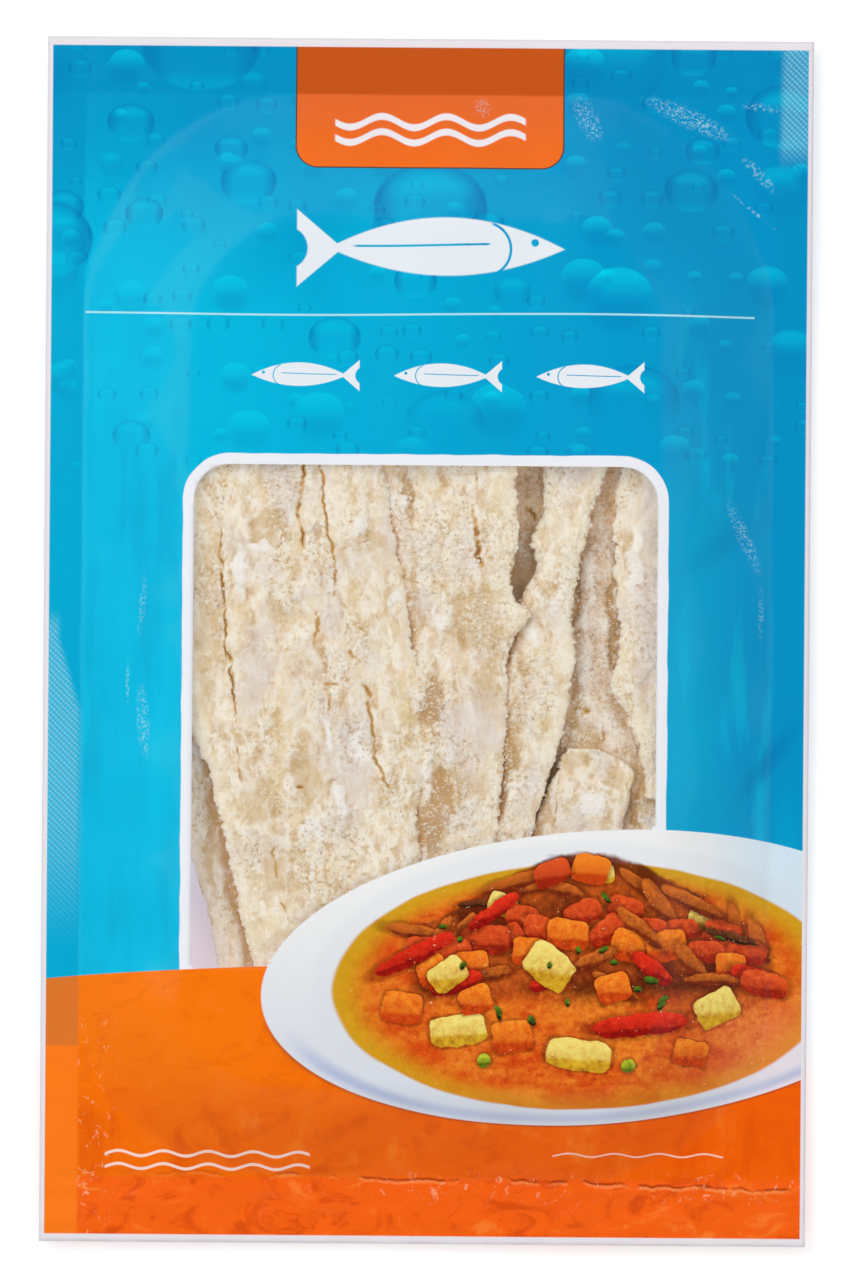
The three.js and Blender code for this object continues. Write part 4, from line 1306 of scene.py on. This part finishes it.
# The flesh: light, middle, tan and grey inks, and how strongly deep places get painted shade; the lower
# copy's lighter inks are painted light for the deepest pieces
fleshInks = {
    "fleshUpper": ((252, 242, 223), (243, 224, 192), (222, 194, 150), (232, 219, 210), 0.85),
    "fleshLower": ((254, 246, 232), (244, 228, 206), (228, 198, 152), (236, 222, 214), 0.6),
}
patchInks = {  # strength and ink of the patches, and of the painted highlight on rims
    "tan": (0.65, (216, 186, 140)), "violet": (0.6, (230, 217, 210)), "white": (0.85, (252, 248, 242)),
    "rim": (0.55, (251, 240, 214)),
}


def attribute(tree, label):
    node = addNode(tree, "ShaderNodeAttribute", settings={"attribute_name": label})
    return Field(tree, node.outputs["Fac"])


def fishMaterial(name, light, middle, tan, grey, depthShare):
    material, tree, shader = newMaterial(name, Roughness=0.75, Specular_IOR_Level=0.22)
    point = printPoint(tree)

    def mottle(share, stretch, *noiseValues):
        return noiseField(tree, stretched(tree, point, 1.0, stretch), *noiseValues).step(*share)

    found = {label: attribute(tree, label) for label in ("shade", "rim", "hollow", "crack", *patchKinds)}
    colour = blend(tree, mottle((0.36, 0.58), 0.75, 0.15, 4.0, 0.6, 0.6), ink(*tan), ink(*middle))
    colour = inked(tree, colour, mottle((0.42, 0.6), 0.6, 0.42, 4.0, 0.65, 0.5), *light)
    colour = inked(tree, colour, mottle((0.5, 0.64), 1.0, 0.07, 3.0) * 0.55, *grey)
    colour = inked(tree, colour, mottle((0.54, 0.66), 0.5, 0.13, 3.0, 0.55) * 0.45, 238, 214, 162)
    colour = inked(tree, colour, mottle((0.56, 0.66), 0.8, 0.26, 5.0, 0.72, 0.8) * 0.6, 250, 243, 234)
    # the patches, and the painted highlight on rims
    for label, (strength, rgb) in patchInks.items():
        colour = inked(tree, colour, found[label] * strength, *rgb)
    # painted shade by depth: greyish brown near the top, ochre further down and in narrow gaps
    gap = blend(tree, split(tree, point)[1].step(31, 22), ink(255, 206, 142), ink(208, 154, 88))
    colour = blend(tree, found["shade"].step(0.08, 0.85) * depthShare, colour, gap)
    # brown patches: partly the flesh's own brown, partly painted shade in recesses and beside higher fillets
    colour = inked(tree, colour, found["brown"] * 0.7, 188, 142, 84)
    # painted highlight on raised spots and painted shade in pits
    colour = inked(tree, colour, found["hollow"].step(0.48, 0.2) * 0.6, 252, 246, 234)
    colour = inked(tree, colour, found["hollow"].step(0.53, 0.85) * 0.65, 200, 162, 110)
    # crumbs: pale grains with brown between them
    grains = noiseField(tree, point, 1.05, 4.0, 0.62)
    loose = found["crumbly"] * 0.8 + 0.15
    colour = inked(tree, colour, grains.step(0.47, 0.34) * loose * 0.75, 194, 156, 112)
    colour = inked(tree, colour, grains.step(0.54, 0.66) * loose * 0.75, 252, 246, 236)
    colour = inked(tree, colour, found["crack"].step(0.05, 0.4) * 0.75, 214, 166, 88)
    colour = inked(tree, colour, found["crack"].step(0.4, 0.9) * 0.7, 166, 112, 54)
    feed(tree, shader.inputs["Base Color"], colour)
    fine = noiseField(tree, point, 1.9, 3.0, 0.75)
    feed(tree, shader.inputs["Normal"], bump(tree, fine + grains * loose, 0.42, 0.75))
    return material


upperFlesh, lowerFlesh = (fishMaterial(name, *inks) for name, inks in fleshInks.items())
# the deepest pieces get the lighter copy, painted light
fleshOf = {name: lowerFlesh if name in ("fillet_back", "fillet_deep") else upperFlesh for name in fillets}
fishObjects = [filletObject(name, fillet, fleshOf[name]) for name, fillet in fillets.items()]
print("fish", sum(len(o.data.polygons) for o in fishObjects))


# The salt and the crumbs, scattered over the fish where its attributes say
scatterings = {  # attribute, how many to a square metre at the most, radii in mm, and seed
    "salt_fine": ("salt", 1.3e6, 0.10, 0.26, 5), "salt_coarse": ("salt", 0.12e6, 0.25, 0.55, 9),
    "crumbs": ("crumbs", 1.0e6, 0.16, 0.5, 3),
}
crystal = {"least": (0.6, 0.6, 0.5), "most": (1.2, 1.2, 0.9), "turn": (6.28, 6.28, 6.28)}  # each way


def saltMaterial():
    material, tree, shader = newMaterial("saltCrystals", Roughness=0.4, Specular_IOR_Level=0.5)
    tint = noiseField(tree, printPoint(tree), 0.9, 2.0).step(0.35, 0.65)
    feed(tree, shader.inputs["Base Color"], blend(tree, tint, ink(234, 220, 196), ink(244, 236, 224)))
    return material


def scatterGroup():
    group, given, out = newGroup("saltScatter", {
        "Geometry": "Geometry", "Share": "String", "Density": "Float", "Smallest": "Float",
        "Largest": "Float", "Seed": "Int", "Material": "Material"}, {"Geometry": "Geometry"}, "Geometry")
    vectors = {"data_type": "FLOAT_VECTOR"}

    def add(kind, *values, settings={}, **named):
        return addNode(group, kind, *values, settings=settings, **named).outputs

    share = add("GeometryNodeInputNamedAttribute", given["Share"], settings={"data_type": "FLOAT"})[0]
    density = add("ShaderNodeMath", share, given["Density"], settings={"operation": "MULTIPLY"})[0]
    places = add("GeometryNodeDistributePointsOnFaces", Mesh=given["Geometry"], Density=density,
                 Seed=given["Seed"])["Points"]
    stone = add("GeometryNodeMeshIcoSphere", Radius=1.0, Subdivisions=1)["Mesh"]
    size = add("FunctionNodeRandomValue", None, None, given["Smallest"], given["Largest"],
               Seed=given["Seed"])[1]
    squash = add("FunctionNodeRandomValue", crystal["least"], crystal["most"], settings=vectors,
                 Seed=given["Seed"])[0]
    scale = add("ShaderNodeVectorMath", squash, settings={"operation": "SCALE"}, Scale=size)[0]
    turn = add("FunctionNodeRandomValue", None, crystal["turn"], settings=vectors, Seed=given["Seed"])[0]
    placed = add("GeometryNodeInstanceOnPoints", Points=places, Instance=stone, Rotation=turn, Scale=scale)[0]
    real = add("GeometryNodeRealizeInstances", placed)[0]
    painted = add("GeometryNodeSetMaterial", Geometry=real, Material=given["Material"])[0]
    feed(group, out["Geometry"], painted)
    return group


def saltPiece(name, group, material, share, density, smallest, largest, seed):
    carriers = []
    for obj in fishObjects:
        carriers.append(obj.copy())
        carriers[-1].data = obj.data.copy()
        bpy.context.scene.collection.objects.link(carriers[-1])
    with bpy.context.temp_override(active_object=carriers[0], selected_editable_objects=carriers,
                                   selected_objects=carriers):
        bpy.ops.object.join()
    piece = carriers[0]
    piece.name = name
    for key in ("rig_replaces", "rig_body", "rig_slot"):  # what the copied fish was marked with
        if key in piece:
            del piece[key]
    modifier = piece.modifiers.new("scatter", "NODES")
    modifier.node_group = group
    inputs = {item.name: item.identifier for item in group.interface.items_tree if item.in_out == "INPUT"}
    values = {"Share": share, "Density": density, "Smallest": smallest * mm, "Largest": largest * mm,
              "Seed": seed, "Material": material}
    for label, value in values.items():
        modifier[inputs[label]] = value
    bake(piece)
    piece.data.name = name
    return piece


salt, scatter = saltMaterial(), scatterGroup()
scattered = [saltPiece(name, scatter, salt, *values) for name, values in scatterings.items()]
print("salt", [len(o.data.polygons) for o in scattered])

# Bodies and slots
for piece in (filmFront, filmWindow, filmBack):
    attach(piece, "root")
    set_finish(piece, "film")
for piece, name in zip(fishObjects, fillets):
    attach(piece, "root")
    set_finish(piece, "fish_shaded" if name in ("fillet_under", "fillet_back", "fillet_deep") else "fish")
for piece in scattered:
    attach(piece, "root")
    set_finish(piece, "fish")

# Floor, light and camera
floorReach, floorDrop = 3000.0, 0.05
softboxes = {  # place and side in metres, and power in watts
    "keyLight": ((-0.95, 0.6, 1.3), 1.3, 12.5), "fillLight": ((1.05, -0.2, 1.3), 1.3, 6.0),
    "topLight": ((0.1, 1.25, 1.15), 1.1, 4.2), "lowLight": ((-0.15, -1.25, 1.15), 1.1, 2.8),
}
photo = {"width": 852, "height": 1280, "perMm": 4.303, "packX": 426.5, "packY": 641.5, "turn": 0.45}
lens, sensor = 600.0, 36.0

paleFloor = newMaterial("paleFloor", Base_Color=(0.8, 0.8, 0.8, 1), Roughness=0.9,
                        Emission_Color=(1, 1, 1, 1), Emission_Strength=0.35)[0]
corners = [(u * floorReach, v * floorReach, -floorDrop) for u, v in ((-1, -1), (1, -1), (1, 1), (-1, 1))]
floor = meshObject("floor", corners, [(0, 1, 2, 3)], paleFloor)


def softbox(name, place, size, power):  # a square lamp that faces the origin
    light = bpy.data.lights.new(name, "AREA")
    light.shape, light.size, light.energy = "SQUARE", size, power
    obj = bpy.data.objects.new(name, light)
    obj.location = place
    obj.rotation_mode = "QUATERNION"
    obj.rotation_quaternion = obj.location.normalized().to_track_quat("Z", "Y")
    bpy.context.scene.collection.objects.link(obj)


for name, values in softboxes.items():
    softbox(name, *values)
# the world is white all round, and dark at its zenith so that the flat film mirrors nothing
world = bpy.data.worlds.new("studio")
world.use_nodes = True
around = world.node_tree.nodes["Background"]
direction = world.node_tree.nodes.new("ShaderNodeTexCoord").outputs["Generated"]
height = split(world.node_tree, direction)[2]
feedNamed(world.node_tree, around, Color=(1, 1, 1, 1), Strength=height.step(0.94, 0.80) * 0.5 + 0.04)
bpy.context.scene.world = world
bpy.context.scene.view_settings.view_transform = "Standard"

camera = bpy.data.cameras.new("camera")
camera.lens, camera.sensor_width, camera.sensor_fit = lens, sensor, "AUTO"
view = bpy.data.objects.new("camera", camera)
bpy.context.scene.collection.objects.link(view)
distance = lens / sensor * photo["height"] / photo["perMm"]
offX = (photo["width"] / 2 - photo["packX"]) / photo["perMm"]
offY = (photo["packY"] - photo["height"] / 2) / photo["perMm"]
view.location = (offX * mm, offY * mm, (distance + sealHeight) * mm)
view.rotation_euler = (0, 0, math.radians(photo["turn"]))
bpy.context.scene.camera = view
print("stage ready")
